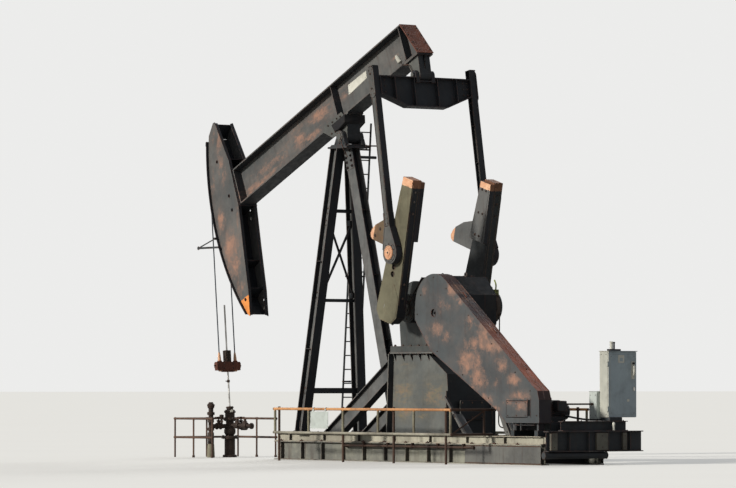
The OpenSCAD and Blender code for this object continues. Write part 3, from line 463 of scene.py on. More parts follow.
class Piece:
    """One object made of many small solids. Each call takes the frame that its numbers are in."""

    def __init__(self, name, body, slot):
        self.name, self.body, self.slot = name, body, slot
        self.finishes = []
        self.shape = bmesh.new()

    def take(self, part, at, finish, bevel=0.0):
        bmesh.ops.recalc_face_normals(part, faces=part.faces[:])
        if bevel:
            sharp = [e for e in part.edges if len(e.link_faces) == 2 and e.calc_face_angle(0) > 0.6]
            bmesh.ops.bevel(part, geom=sharp, offset=bevel, segments=1, affect="EDGES", clamp_overlap=True)
        if finish not in self.finishes:
            self.finishes.append(finish)
        for face in part.faces:
            face.material_index = self.finishes.index(finish)
        part.transform(at)
        if at.determinant() < 0:
            bmesh.ops.reverse_faces(part, faces=part.faces[:])
        mesh = bpy.data.meshes.new("part")
        part.to_mesh(mesh)
        part.free()
        self.shape.from_mesh(mesh)
        bpy.data.meshes.remove(mesh)

    def skin(self, at, rings, finish, bevel=0.0, closed=False):
        """Joins rings of points; the ends are capped unless it closes on itself."""
        part = bmesh.new()
        loops = [[part.verts.new(p) for p in ring] for ring in rings]
        pairs = list(zip(loops, loops[1:])) + ([(loops[-1], loops[0])] if closed else [])
        for low, high in pairs:
            for i in range(len(low)):
                j = (i + 1) % len(low)
                part.faces.new((low[i], low[j], high[j], high[i]))
        if not closed:
            part.faces.new(loops[0][::-1])
            part.faces.new(loops[-1])
        self.take(part, at, finish, bevel)

    def slab(self, at, outline, y0, y1, finish, bevel=0.003):
        self.skin(at, [[(x, y, z) for x, z in outline] for y in (y0, y1)], finish, bevel)

    def block(self, at, x, y, z, finish, bevel=0.003):
        self.slab(at, [(x[0], z[0]), (x[1], z[0]), (x[1], z[1]), (x[0], z[1])], y[0], y[1], finish, bevel)

    def strip(self, at, p, q, thick, y0, y1, finish, bevel=0.002):
        """Flat bar whose long side runs from p to q in X and Z."""
        along = Vector((q[0] - p[0], q[1] - p[1])).normalized()
        dx, dz = -along.y * thick / 2, along.x * thick / 2
        outline = [(p[0] - dx, p[1] - dz), (q[0] - dx, q[1] - dz), (q[0] + dx, q[1] + dz), (p[0] + dx, p[1] + dz)]
        self.slab(at, outline, y0, y1, finish, bevel)

    def turn(self, at, p, way, profile, finish, sides=24):
        """Solid of revolution from p along way; profile is a list of (distance, radius)."""
        way, side, other = axes_of(way)
        angles = [2 * math.pi * i / sides for i in range(sides)]
        self.skin(at, [[Vector(p) + way * d + (side * math.cos(a) + other * math.sin(a)) * r for a in angles]
                       for d, r in profile], finish)

    def bar(self, at, p, q, r, finish, sides=16):
        """Round bar from p to q."""
        way = Vector(q) - Vector(p)
        rim = min(r * 0.15, 0.004)
        self.turn(at, p, way, drum(way.length, r, rim, rim), finish, sides)

    def bolt(self, at, p, way, size=0.02, finish="bolt"):
        self.turn(at, p, way, [(0, size * 1.25), (size * 0.25, size * 1.25)], finish, 12)
        self.turn(at, p, way, [(0, size), (size * 0.85, size), (size, size * 0.85)], finish, 6)
        self.turn(at, p, way, [(size * 0.9, size * 0.5), (size * 1.35, size * 0.5)], finish, 8)

    def bolts(self, at, points, way, size=0.02, finish="bolt"):
        for p in points:
            self.bolt(at, p, way, size, finish)

    def bolt_circle(self, at, centre, way, radius, count, size=0.015):
        way, side, other = axes_of(way)
        for i in range(count):
            a = 2 * math.pi * i / count
            self.bolt(at, Vector(centre) + (side * math.cos(a) + other * math.sin(a)) * radius, way, size)

    def ring(self, at, centre, way, big, small, finish, sides=24, turns=8):
        way, side, other = axes_of(way)
        rings = []
        for i in range(sides):
            a = 2 * math.pi * i / sides
            out = side * math.cos(a) + other * math.sin(a)
            rings.append([Vector(centre) + out * (big + small * math.cos(b)) + way * small * math.sin(b)
                          for b in (2 * math.pi * j / turns for j in range(turns))])
        self.skin(at, rings, finish, closed=True)

    def pipe(self, at, points, r, finish, bend=0.1, sides=12):
        path = rounded(points, bend)
        side = (path[1] - path[0]).orthogonal().normalized()
        rings = []
        for i, point in enumerate(path):
            ahead = (path[min(i + 1, len(path) - 1)] - path[max(i - 1, 0)]).normalized()
            side = (side - ahead * side.dot(ahead)).normalized()
            other = ahead.cross(side)
            rings.append([point + (side * math.cos(a) + other * math.sin(a)) * r
                          for a in (2 * math.pi * j / sides for j in range(sides))])
        self.skin(at, rings, finish)

    def wheel(self, at, centre, way, radius, finish):
        """Handwheel with four spokes."""
        centre = Vector(centre)
        way, side, other = axes_of(way)
        self.ring(at, centre, way, radius, radius * 0.12, finish, 28, 8)
        for out in (side, other):
            self.bar(at, centre - out * radius, centre + out * radius, radius * 0.09, finish, 8)
        self.turn(at, centre - way * 0.015, way, [(0, radius * 0.25), (0.03, radius * 0.25)], finish, 12)

    def done(self):
        mesh = bpy.data.meshes.new(self.name)
        self.shape.to_mesh(mesh)
        self.shape.free()
        for finish in self.finishes:
            mesh.materials.append(PAINT[finish])
        mesh.shade_smooth()
        mesh.set_sharp_from_angle(angle=math.radians(38))
        obj = bpy.data.objects.new(self.name, mesh)
        bpy.context.scene.collection.objects.link(obj)
        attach(obj, self.body)
        return obj


NEAR, FAR, UP, DOWN, AHEAD, BACK = (0, -1, 0), (0, 1, 0), (0, 0, 1), (0, 0, -1), (1, 0, 0), (-1, 0, 0)

# Walking beam: its own frame has u along the beam and w square to it
beam = Piece("beam_fittings", "beam_set", "dark_paint")
for at in both(AT_BEAM):
    beam.slab(at, [(0.2, 0.5), (0.28, 0.36), (-0.13, 0.1), (-0.32, 0.13), (-0.6, 0.4), (-0.5, 0.5)],
              -0.226, -0.207, "grey")
    beam.bolts(at, [(-0.36, -0.226, 0.44), (-0.18, -0.226, 0.44), (0, -0.226, 0.44), (0.14, -0.226, 0.42),
                    (-0.3, -0.226, 0.22), (-0.16, -0.226, 0.2)], NEAR, 0.02)
    beam.bolts(at, [(u, -0.13, 0.428) for u in (-0.34, -0.12, 0.12, 0.34, 2.75, 2.9, 3.0, 3.15)], UP, 0.022)
    beam.bolts(at, [(u, -0.13, 0.37) for u in (-0.375, 0.375, 2.72, 3.18)], DOWN, 0.02)
    along, out = Vector((-0.379, 0, 0.925)), Vector((0.925, 0, 0.379))
    foot = Vector((3.238, 0, 0.4)) + out * 0.004
    beam.bolts(at, [foot + along * t + Vector((0, -0.17, 0)) for t in (0.1, 0.33, 0.57, 0.8)], out, 0.018)
    beam.bolts(at, [(-4.175, -0.17, w) for w in (0.5, 0.66, 0.82, 0.98, 1.14)], BACK, 0.018)
    # Weld beads along the web
    beam.pipe(at, [(-4.15, -0.013, 0.432), (3.15, -0.013, 0.432)], 0.006, "beam", 0.0, 6)
    beam.pipe(at, [(-4.15, -0.013, 1.213), (2.85, -0.013, 1.213)], 0.006, "beam", 0.0, 6)
# Black body of the saddle under the beam
beam.slab(AT_BEAM, [(-0.14, 0.2), (0.0, 0.165), (0.3, 0.2), (0.36, 0.37), (-0.2, 0.37)], -0.275, 0.275,
          "hose", 0.01)
# Bare plate on the near side of the web
beam.slab(AT_BEAM, [(0.34, 0.85), (1.1, 0.88), (1.13, 1.04), (0.4, 1.06)], -0.0135, -0.009, "pale", 0.002)
beam.bolts(AT_BEAM, [(0.4, -0.0135, 0.875), (1.07, -0.0135, 0.9), (1.09, -0.0135, 1.02),
                     (0.44, -0.0135, 1.035)], NEAR, 0.006)
# Oiler above the tail bearing
beam.turn(AT_BEAM, (2.6, -0.215, 0.47), (-0.3, -0.1, 1),
          [(0, 0.03), (0.01, 0.05), (0.16, 0.05), (0.17, 0.03), (0.2, 0.03)], "pale")
beam.pipe(AT_BEAM, [(2.6, -0.215, 0.48), (2.66, -0.215, 0.38), (2.85, -0.2, 0.3), (2.85, -0.149, 0.08)],
          0.008, "iron", 0.04, 8)
for u, half in ((0, 0.15), (2.95, 0.12)):
    for at in both(AT_BEAM):
        for s in (-1, 1):
            # Web of a bearing's bracket
            web = [(-0.02, 0.05), (0.03, 0.1), (0.13, 0.37), (-0.02, 0.37)]
            beam.slab(at, [(u + s * (half + du), w) for du, w in web], -0.012, 0.012, "grey")
beam.done()

# Horsehead: stiffeners along the open edges of the side plates, and what holds the lines
head = Piece("head_fittings", "beam_set", "grey_paint")
REAR_EDGE = [(-4.372, 2.5), (-4.2, 1.46), (-4.237, 0.41), (-4.436, -0.52), (-4.637, -1.525), (-4.8, -2.06)]
for at in both(AT_BEAM):
    for p, q in zip(REAR_EDGE, REAR_EDGE[1:]):
        head.strip(at, p, q, 0.014, -0.232, -0.17, "inner")
    for u, w in ((-4.627, 1.651), (-4.49, 0.734), (-4.505, 0.392), (-4.81, -1.68)):
        head.ring(at, (u, -0.251, w), NEAR, 0.036, 0.006, "inner")
    for degrees in (23.2, 21.5):
        a = math.radians(degrees)
        grip = at @ turned((-LINE_RADIUS * math.cos(a), 0, LINE_RADIUS * math.sin(a)), a)
        head.block(grip, (-0.024, 0.024), (-0.25, -0.17), (-0.03, 0.03), "iron")
        head.bolts(grip, [(-0.024, -0.238, 0), (-0.024, -0.182, 0)], BACK, 0.01)
# Web that closes the head inside, between the side plates
for p, q in (((-4.66, 2.24), (-4.57, 1.4)), ((-4.64, 0.34), (-4.83, -0.7)), ((-4.83, -0.7), (-4.92, -1.5))):
    head.strip(AT_BEAM, p, q, 0.012, -0.231, 0.231, "inner")
# Arm that keeps the lines clear
head.ring(WORLD, (-5.53, -0.338, 4.72), FAR, 0.034, 0.009, "iron")
head.bolts(WORLD, [(-5.1, -0.358, 4.72), (-5.02, -0.358, 4.72), (-4.84, -0.358, 4.92)], NEAR, 0.014)
head.done()

# Saddle bearing and the top of the post
saddle = Piece("saddle_fittings", "frame", "dark_paint")
for at in both(WORLD):
    saddle.turn(at, (0, -0.268, 7), NEAR,
                [(0, 0.115), (0.012, 0.115), (0.018, 0.105), (0.018, 0.08), (0.03, 0.075)], "grey", 36)
    saddle.bolt_circle(at, (0, -0.283, 7), NEAR, 0.096, 8, 0.011)
    for x in (-0.16, 0, 0.16):
        saddle.slab(across(at, x), [(-0.289, 6.832), (-0.267, 6.832), (-0.267, 6.95)], -0.009, 0.009, "frame")
    saddle.bolts(at, [(x, -0.24, 6.79) for x in (-0.37, 0.27)], UP, 0.02)
    saddle.bolts(at, [(x, -0.25, 6.75) for x in (-0.37, 0.26)], DOWN, 0.018)
saddle.pipe(WORLD, [(0.05, -0.29, 6.99), (0.1, -0.31, 6.9), (0.19, -0.31, 6.72), (0.2, -0.2, 6.55)],
            0.008, "iron", 0.04, 8)
saddle.done()

# Feet, splices and bracing of the post
post = Piece("post_fittings", "frame", "dark_paint")
FOOT_Z = 0.605
LADDER_SIDES = (0.49, 0.91)


def leg_at(z):
    """Middle of the near front leg at height z."""
    return Vector((0.0814 * (z - FOOT_Z) - 0.72, 0.0968 * (z - FOOT_Z) - 0.77, z))


def on_leg(at, z, out=0.0):
    """Frame on the near front leg at height z, `out` in front of its middle."""
    middle = leg_at(z)
    return at @ Matrix.Translation((middle.x, middle.y - out, z)) @ Matrix.Rotation(-0.0965, 4, "X")


for at in both(WORLD):
    post.bolts(at, [(x, y, FOOT_Z) for x in (-0.875, -0.565) for y in (-0.865, -0.675)], UP, 0.024)
    post.bolts(at, [(x, y, FOOT_Z) for x in (1.67, 2.03) for y in (-0.7, -0.35)], UP, 0.024)
    for x in (-0.8, -0.64):
        post.slab(across(at, x, -0.77), [(-0.125, FOOT_Z), (-0.1, FOOT_Z), (-0.08, 0.86), (-0.1, 0.86)],
                  -0.006, 0.006, "leg")
    for z in (1.5, 3.57, 5.14, 5.4):
        # Bolted plates on the legs
        lean = on_leg(at, z, 0.0075)
        post.block(lean, (-0.085, 0.085), (-0.008, 0.0), (-0.09, 0.09), "leg")
        post.bolts(lean, [(x, -0.008, dz) for x in (-0.05, 0.05) for dz in (-0.055, 0.055)], NEAR, 0.014)
    for z in (2.4, 4.3):
        # Stiffeners in the legs
        post.block(on_leg(at, z), (-0.104, 0.104), (-0.1, -0.007), (-0.006, 0.006), "frame")
    for z in (1.2, 2.6, 4.0, 5.4):
        # Stiffeners in the rear leg
        x = 1.85 + (0.065 - 1.85) * (z - FOOT_Z) / 6.145
        post.block(at, (x - 0.13, x + 0.13), (-0.086, -0.008), (z - 0.006, z + 0.006), "frame")
for at in both(turned((0.12, 0, 6.56), -0.2827)):
    # Bolted plate at the top of the rear leg
    post.block(at, (-0.15, 0.125), (-0.114, -0.105), (-0.28, 0.19), "leg")
    post.bolts(at, [(x, -0.114, z) for x in (-0.1, 0.07) for z in (-0.22, -0.1, 0.01, 0.12)],
               NEAR, 0.026, "hose")
# Brackets that hold the ladder
post.bar(WORLD, (-0.47, 0.26, 6.6), (-0.47, 1.02, 6.6), 0.032, "frame")
post.bar(WORLD, (-0.5, 0.26, 6.84), (-0.5, 1.1, 6.86), 0.016, "brown")
for z in (1.7, 4.0, 6.77):
    for y in LADDER_SIDES:
        x = leg_at(z).x - 0.33
        post.ring(WORLD, (x, y, z), UP, 0.026, 0.007, "iron", 20, 8)
for i in range(21):
    # Welds of the rungs
    z = 1.05 + 0.305 * i
    for y in LADDER_SIDES:
        inside = 0.022 if y < 0.7 else -0.022
        x = leg_at(z).x - 0.33
        post.turn(WORLD, (x, y + inside * 0.8, z), (0, inside, 0), [(0, 0.02), (0.008, 0.015)], "frame", 10)
post.done()

# Pitmans, equaliser and wrist bearings
links = Piece("pitman_fittings", "pitman_set", "dark_paint")


def loop(radius, low, high, count=12):
    """Outline with round ends, from low to high."""
    angles = [math.pi * i / count for i in range(count + 1)]
    arc = [(radius * math.cos(a), radius * math.sin(a)) for a in angles]
    return [(x, high + z) for x, z in arc] + [(-x, low - z) for x, z in arc]


for at in both(AT_PIN):
    links.slab(at, loop(0.095, 3.42, 3.9), -1.352, -1.337, "pitman")
    links.slab(at, loop(0.05, 3.5, 3.86), -1.358, -1.352, "pitman")
    links.bolts(at, [(0, -1.358, z) for z in (3.52, 3.84)], NEAR, 0.022)
    for x in (-0.06, 0.06):
        links.bolts(at, [(x, -1.352, z) for z in (3.4, 3.92)], NEAR, 0.012)
    links.block(at, (-0.085, 0.085), (-1.345, -1.19), (4.0, 4.014), "pitman")
    # Plate that boxes in the outer side of the section
    links.block(at, (-0.05, 0.05), (-1.337, -1.329), (0.57, 3.46), "pitman")
    for z in (1.2, 2.0, 2.8, 3.3):
        links.block(at, (-0.061, 0.061), (-1.33, -1.268), (z - 0.005, z + 0.005), "pitman")
        links.block(at, (-0.061, 0.061), (-1.256, -1.19), (z - 0.005, z + 0.005), "pitman")
    # Flat disc, rim and centre of the wrist pin's cap
    links.turn(at, (0, -1.337, 0), NEAR, [(0, 0.205), (0.01, 0.205), (0.016, 0.195), (0.016, 0.16)],
               "pitman", 48)
    links.bolt_circle(at, (0, -1.352, 0), NEAR, 0.181, 10, 0.012)
    links.turn(at, (0, -1.361, 0), NEAR, [(0, 0.148), (0.008, 0.148), (0.012, 0.142)], "tip", 48)
    links.ring(at, (0, -1.374, 0), NEAR, 0.13, 0.009, "tip", 48, 8)
    links.ring(at, (0, -1.374, 0), NEAR, 0.088, 0.006, "tip", 40, 8)
    links.turn(at, (0, -1.373, 0), NEAR, [(0, 0.066), (0.01, 0.066), (0.014, 0.058)], "tip", 32)
    links.turn(at, (0, -1.387, 0), NEAR, [(0, 0.02), (0.012, 0.02), (0.015, 0.014)], "bolt", 6)
    for s in (-1, 1):
        links.strip(at, (s * 0.225, 0.1), (s * 0.1, 0.54), 0.02, -1.345, -1.185, "pitman")
        links.strip(at, (s * 0.09, 0.54), (s * 0.085, 0.86), 0.014, -1.34, -1.19, "pitman")
    links.bolts(at, [(x, -1.337, z) for x in (-0.045, 0.045) for z in (0.62, 0.72, 0.82)], NEAR, 0.012)
for at in both(AT_TAIL):
    links.bolts(at, [(0.011, y, z) for y in (-1.12, -1.02) for z in (-0.14, -0.27, -0.4)], AHEAD, 0.017)
    links.bolts(at, [(-0.011, y, z) for y in (-1.12, -1.02) for z in (-0.14, -0.27, -0.4)], BACK, 0.017)
    links.block(at, (-0.03, 0.03), (-1.186, -1.17), (-0.43, -0.08), "inner")
    links.bolts(at, [(x, -0.24, -0.06) for x in (-0.06, 0.06)], UP, 0.013)
    links.turn(at, (0, -0.27, 0), NEAR, [(0, 0.05), (0.012, 0.05), (0.016, 0.04)], "grey", 24)
links.done()

# Cranks: their own frame has w from the shaft towards the tip
crank = Piece("crank_fittings", "crank_set", "olive_paint")
for at in both(AT_CRANK):
    crank.slab(at, [(-0.16, -0.27), (0.19, -0.27), (0.34, -0.12), (0.34, 0.02), (0.32, 0.3), (0.11, 0.56),
                    (-0.02, 0.42)], -1.177, -1.169, "crank")
    crank.slab(at, [(-0.172, 2.66), (0.172, 2.66), (0.17, 2.775), (-0.17, 2.775)], -1.175, -1.169, "tip")
    crank.slab(at, [(-0.3, 0.98), (-0.12, 1.0), (-0.12, 2.5), (-0.2, 2.5)], -1.174, -1.169, "crank")
    crank.slab(at, [(0.3, 0.98), (0.12, 1.0), (0.12, 2.5), (0.2, 2.5)], -1.174, -1.169, "crank")
    for w in (0.74, 0.892):
        crank.ring(at, (0, -1.17, w), NEAR, 0.064, 0.006, "crank", 28, 8)
        crank.turn(at, (0, -1.13, w), NEAR, [(0, 0.03), (0.02, 0.03)], "iron", 16)
    slope = math.atan2(0.195, 2.8)
    for s in (-1, 1):
        side = at @ Matrix.Translation((s * 0.37, 0, 0)) @ Matrix.Rotation(-s * slope, 4, "Y")
        for y in (-1.14, -1.0):
            crank.block(side, (-0.006, 0.006), (y - 0.012, y + 0.012), (0.15, 2.7), "crank")
        crank.bolts(side, [(s * 0.001, -1.07, w) for w in (0.3, 0.6, 2.1, 2.35, 2.55)], (s, 0, 0), 0.022)
    crank.bolts(at, [(u, -0.85, w) for w in (1.62, 2.1, 2.6) for u in (-0.07, 0.07)], FAR, 0.026)
    crank.slab(at, [(-0.2, 1.56), (0.2, 1.56), (0.15, 2.68), (-0.15, 2.68)], -0.85, -0.842, "weight_far")
    for u, w in ((-0.92, 1.34), (-0.78, 1.52)):
        crank.turn(at, (u, -1.107, w), NEAR, [(0, 0.035), (0.006, 0.035)], "iron", 20)
        crank.bolt(at, (u, -1.112, w), NEAR, 0.018)
    # Hub clamp on the inner face, and the shaft's end
    crank.turn(at, (0, -0.95, 0), FAR, [(0, 0.21), (0.05, 0.21), (0.06, 0.2), (0.06, 0.125)], "crank", 36)
    crank.bolt_circle(at, (0, -0.89, 0), FAR, 0.168, 6, 0.02)
    crank.turn(at, (0, -1.17, 0), NEAR, [(0, 0.12), (0.005, 0.118)], "steel", 36)
    crank.bolts(at, [(u, -1.06, -0.29) for u in (-0.13, 0.13)], DOWN, 0.03)
crank.done()

# Gear reducer on its pedestal
gear = Piece("reducer_fittings", "frame", "grey_paint")
for at in both(WORLD):
    gear.bolts(at, [(x, -0.57, 2.44) for x in (2.5, 2.78, 3.06, 3.34, 3.62, 3.84)], UP, 0.026)
    gear.bolts(at, [(x, -0.487, 3.255) for x in (2.48, 2.62, 2.76, 3.34, 3.45)], UP, 0.018)
    gear.bolts(at, [(x, -0.487, 3.205) for x in (2.48, 2.62, 2.76, 3.34, 3.45)], DOWN, 0.018)
    gear.turn(at, (SHAFT.x, -0.65, SHAFT.z), NEAR,
              [(0, 0.27), (0.015, 0.27), (0.022, 0.26), (0.022, 0.16), (0.05, 0.15), (0.05, 0.12)], "reducer", 48)
    gear.bolt_circle(at, (SHAFT.x, -0.671, SHAFT.z), NEAR, 0.222, 8, 0.018)
    gear.block(at, (3.5, 4.25), (-0.476, -0.459), (2.7, 2.74), "reducer")
    gear.strip(at, (2.87, 3.41), (3.33, 3.88), 0.03, -0.475, -0.459, "reducer")
    gear.bolts(at, [(x, -0.57, 2.28) for x in (2.65, 2.95, 3.25, 3.55, 3.84)], DOWN, 0.02)
gear.block(WORLD, (3.45, 4.15), (-0.3, 0.3), (3.88, 3.9), "reducer")
gear.bolts(WORLD, [(x, y, 3.9) for x in (3.5, 3.65, 3.8, 3.95, 4.1) for y in (-0.26, 0.26)], UP, 0.014)
for x in (3.42, 4.24):
    gear.ring(WORLD, (x, 0, 3.925), FAR, 0.04, 0.012, "reducer")
gear.turn(WORLD, (3.05, 0.46, 2.75), FAR, [(0, 0.06), (0.012, 0.06), (0.016, 0.05), (0.016, 0.04)], "iron", 28)
gear.pipe(WORLD, [(2.6, 0.3, 2.52), (2.42, 0.3, 2.52), (2.42, 0.3, 2.6)], 0.02, "iron", 0.03)
gear.block(WORLD, (2.535, 2.56), (-0.28, 0.28), (2.62, 3.0), "reducer")
gear.bolts(WORLD, [(2.535, y, z) for y in (-0.24, 0, 0.24) for z in (2.66, 2.96)], BACK, 0.014)
# High-speed shaft on the guard's side and its bearing cover
gear.turn(WORLD, (4.18, -0.46, 3.26), NEAR, [(0, 0.17), (0.01, 0.17)], "reducer", 32)
gear.turn(WORLD, (4.18, 0.46, 3.26), FAR, [(0, 0.17), (0.03, 0.17), (0.04, 0.15), (0.04, 0.1)], "reducer", 32)
gear.bolt_circle(WORLD, (4.18, 0.49, 3.26), FAR, 0.14, 6, 0.014)
gear.done()

# Pedestal: bolts, weld beads and stays
pedestal = Piece("pedestal_fittings", "frame", "grey_paint")
for at in both(WORLD):
    pedestal.bolts(at, [(x, -0.64, 0.6) for x in (2.5, 2.95, 3.4, 3.85, 4.3)], UP, 0.022)
    pedestal.pipe(at, [(2.35, -0.552, 0.612), (4.4, -0.552, 0.612)], 0.009, "pedestal", 0, 6)
    pedestal.pipe(at, [(2.42, -0.552, 2.272), (3.66, -0.552, 2.272), (4.33, -0.552, 1.85), (4.44, -0.552, 0.62)],
                  0.008, "pedestal", 0.01, 6)
    pedestal.block(at, (4.405, 4.425), (-0.64, -0.551), (0.6, 1.5), "pedestal")
    # Raking stays behind the pedestal and under the guard
    pedestal.slab(at, [(4.66, 1.02), (4.8, 1.02), (5.2, 0.6), (5.04, 0.6)], -0.66, -0.6, "plate")
    pedestal.slab(at, [(4.8, 1.02), (4.86, 1.02), (5.27, 0.6), (5.2, 0.6)], -0.72, -0.54, "frame")
    pedestal.strip(at, (4.38, 1.38), (4.76, 0.96), 0.05, -0.66, -0.6, "plate")
    pedestal.bolts(at, [(5.09, -0.66, 0.66), (4.76, -0.66, 0.96)], NEAR, 0.016)
# Cover plate on the pedestal's end, and bolts of the base in front of it
pedestal.block(WORLD, (4.425, 4.47), (-0.3, 0.3), (0.9, 1.3), "pedestal")
pedestal.bolts(WORLD, [(4.47, y, z) for y in (-0.25, 0, 0.25) for z in (0.95, 1.25)], AHEAD, 0.016)
for at in both(WORLD):
    pedestal.bolts(at, [(x, y, 0.6) for x in (-0.17, 0.1, 0.42) for y in (-0.72, -0.45)], UP, 0.022)
pedestal.done()

# Brake on the far side
brake = Piece("brake_fittings", "frame", "dark_paint")
brake.turn(WORLD, (4.18, 0.605, 3.26), FAR, [(0, 0.352), (0.09, 0.352)], "iron", 56)
brake.turn(WORLD, (4.18, 0.75, 3.26), FAR, [(0, 0.1), (0.04, 0.1), (0.045, 0.09)], "iron", 24)
brake.bolt_circle(WORLD, (4.18, 0.75, 3.26), FAR, 0.2, 6, 0.016)
brake.ring(WORLD, (4.18, 0.752, 3.26), FAR, 0.3, 0.012, "frame", 56, 8)
brake.block(WORLD, (4.34, 4.45), (0.61, 0.71), (3.5, 3.62), "lime")
brake.pipe(WORLD, [(4.4, 0.66, 3.6), (4.42, 0.66, 3.72), (4.36, 0.66, 3.82)], 0.016, "lime", 0.05)
brake.bolts(WORLD, [(4.45, 0.66, 3.53), (4.45, 0.66, 3.59)], AHEAD, 0.016)
brake.pipe(WORLD, [(4.46, 0.68, 3.5), (4.5, 0.69, 3.3), (4.49, 0.69, 2.7), (4.5, 0.66, 0.75),
                   (5.2, 0.62, 0.66)], 0.013, "iron", 0.12)
brake.bar(WORLD, (4.26, 0.66, 3.56), (4.45, 0.66, 3.52), 0.02, "iron")
brake.block(WORLD, (5.15, 5.4), (0.56, 0.68), (0.58, 0.66), "frame")
brake.bar(WORLD, (5.28, 0.62, 0.62), (5.5, 0.62, 1.35), 0.016, "iron")
brake.bar(WORLD, (5.47, 0.62, 1.24), (5.52, 0.62, 1.42), 0.024, "hose")
brake.slab(WORLD, [(5.18, 0.66), (5.38, 0.66), (5.34, 0.86), (5.22, 0.86)], 0.64, 0.648, "iron")
brake.done()

# Belt guard
guard = Piece("guard_fittings", "frame", "rust_paint")
RIM = [(3.507, 3.0), (4.05, 2.35), (6.38, 1.11), (6.69, 0.85)]
SLOPE = [(7.8, 1.32), (7.74, 1.5), (7.5, 1.66), (4.58, 3.804)]
for y in (-0.782, -0.475):
    for line in (RIM, SLOPE):
        for p, q in zip(line, line[1:]):
            guard.strip(WORLD, p, q, 0.012, y - 0.004, y + 0.004, "guard", 0.001)
for p, q in zip(SLOPE, SLOPE[1:]):
    guard.strip(WORLD, p, q, 0.012, -0.64, -0.61, "guard")
# Cover plate by the motor, its slot and the edge of the guard's end; the gap round the plate and the slot are
# flat black, painted shade
guard.block(WORLD, (6.71, 7.4), (-0.789, -0.779), (0.97, 1.29), "guard")
guard.block(WORLD, (6.69, 7.405), (-0.782, -0.779), (0.955, 1.305), "gap_shade", 0.001)
guard.block(WORLD, (7.42, 7.51), (-0.783, -0.779), (0.99, 1.32), "gap_shade", 0.001)
guard.block(WORLD, (7.405, 7.42), (-0.79, -0.779), (0.96, 1.34), "guard")
guard.block(WORLD, (7.51, 7.525), (-0.79, -0.779), (0.96, 1.34), "guard")
guard.bolts(WORLD, [(x, -0.789, z) for x in (6.76, 7.05, 7.35) for z in (1.0, 1.26)], NEAR, 0.012)
GUARD_BOLTS = [(3.72, 3.5), (3.6, 3.1), (4.18, 3.86), (4.62, 3.62), (5.4, 3.05), (6.2, 2.46), (7.0, 1.88),
               (7.5, 1.5), (7.72, 1.0), (4.3, 2.32), (5.2, 1.83), (6.1, 1.35)]
guard.bolts(WORLD, [(x, -0.78, z) for x, z in GUARD_BOLTS], NEAR, 0.013)
guard.ring(WORLD, (4.17, -0.78, 3.12), NEAR, 0.086, 0.007, "guard", 32, 8)
# Flat black disc and boss in the guard's opening round the shaft: painted shade
guard.turn(WORLD, (4.17, -0.735, 3.12), NEAR, [(0, 0.078), (0.004, 0.078)], "gap_shade", 28)
guard.turn(WORLD, (4.17, -0.739, 3.12), NEAR, [(0, 0.03), (0.02, 0.03), (0.024, 0.02)], "gap_shade", 20)
for x in (6.96, 7.13):
    guard.block(WORLD, (x - 0.02, x + 0.02), (-0.74, -0.6), (0.7, 0.86), "frame")
guard.block(WORLD, (6.9, 7.6), (-0.76, -0.58), (0.8, 0.815), "frame")
# Stay under the guard's lower corner
guard.slab(WORLD, [(6.26, 1.16), (6.42, 1.08), (6.72, 0.6), (6.56, 0.6)], -0.7, -0.64, "plate")
guard.bolts(WORLD, [(6.62, -0.7, 0.66), (6.4, -0.7, 1.02)], NEAR, 0.014)
# Hinges along the top
for t in (0.15, 0.5, 0.85):
    x, z = 7.5 + (4.58 - 7.5) * t, 1.66 + (3.804 - 1.66) * t
    guard.bar(turned((x, -0.6, z), 0.633), (-0.09, 0, 0.012), (0.09, 0, 0.012), 0.014, "rust", 12)
guard.done()

# Motor
motor = Piece("motor_fittings", "frame", "dark_paint")
MOTOR_X, MOTOR_Z = 7.25, 1.08
for i in range(40):
    a = 2 * math.pi * i / 40
    if not -2.4 < math.atan2(math.sin(a), math.cos(a)) < -0.75:
        fin = turned((MOTOR_X, 0, MOTOR_Z), -a)
        motor.block(fin, (0.2, 0.232), (-0.3, 0.14), (-0.004, 0.004), "inner", 0.001)
for y0, y1 in ((-0.402, -0.33), (0.16, 0.205)):
    motor.turn(WORLD, (MOTOR_X, y0, MOTOR_Z), FAR, drum(y1 - y0, 0.216, 0.012, 0.016), "frame", 40)
motor.turn(WORLD, (MOTOR_X, 0.25, MOTOR_Z), FAR, [(0, 0.185), (0.05, 0.17), (0.075, 0.12), (0.08, 0.04)],
           "frame", 40)
for i in range(14):
    a = 2 * math.pi * i / 14
    grill = turned((MOTOR_X, 0.328, MOTOR_Z), a)
    motor.block(grill, (0.03, 0.13), (-0.012, -0.002), (-0.006, 0.006), "hose", 0.001)
motor.bolt_circle(WORLD, (MOTOR_X, 0.2, MOTOR_Z), FAR, 0.195, 8, 0.009)
motor.ring(WORLD, (MOTOR_X, -0.08, MOTOR_Z + 0.25), FAR, 0.035, 0.011, "iron")
for s in (-1, 1):
    for y in (-0.22, 0.08):
        x = MOTOR_X + s * 0.15
        motor.block(WORLD, (x - 0.1, x + 0.1), (y - 0.06, y + 0.06), (0.86, 0.885), "inner")
        motor.bolts(WORLD, [(MOTOR_X + s * 0.22, y, 0.885)], UP, 0.018)
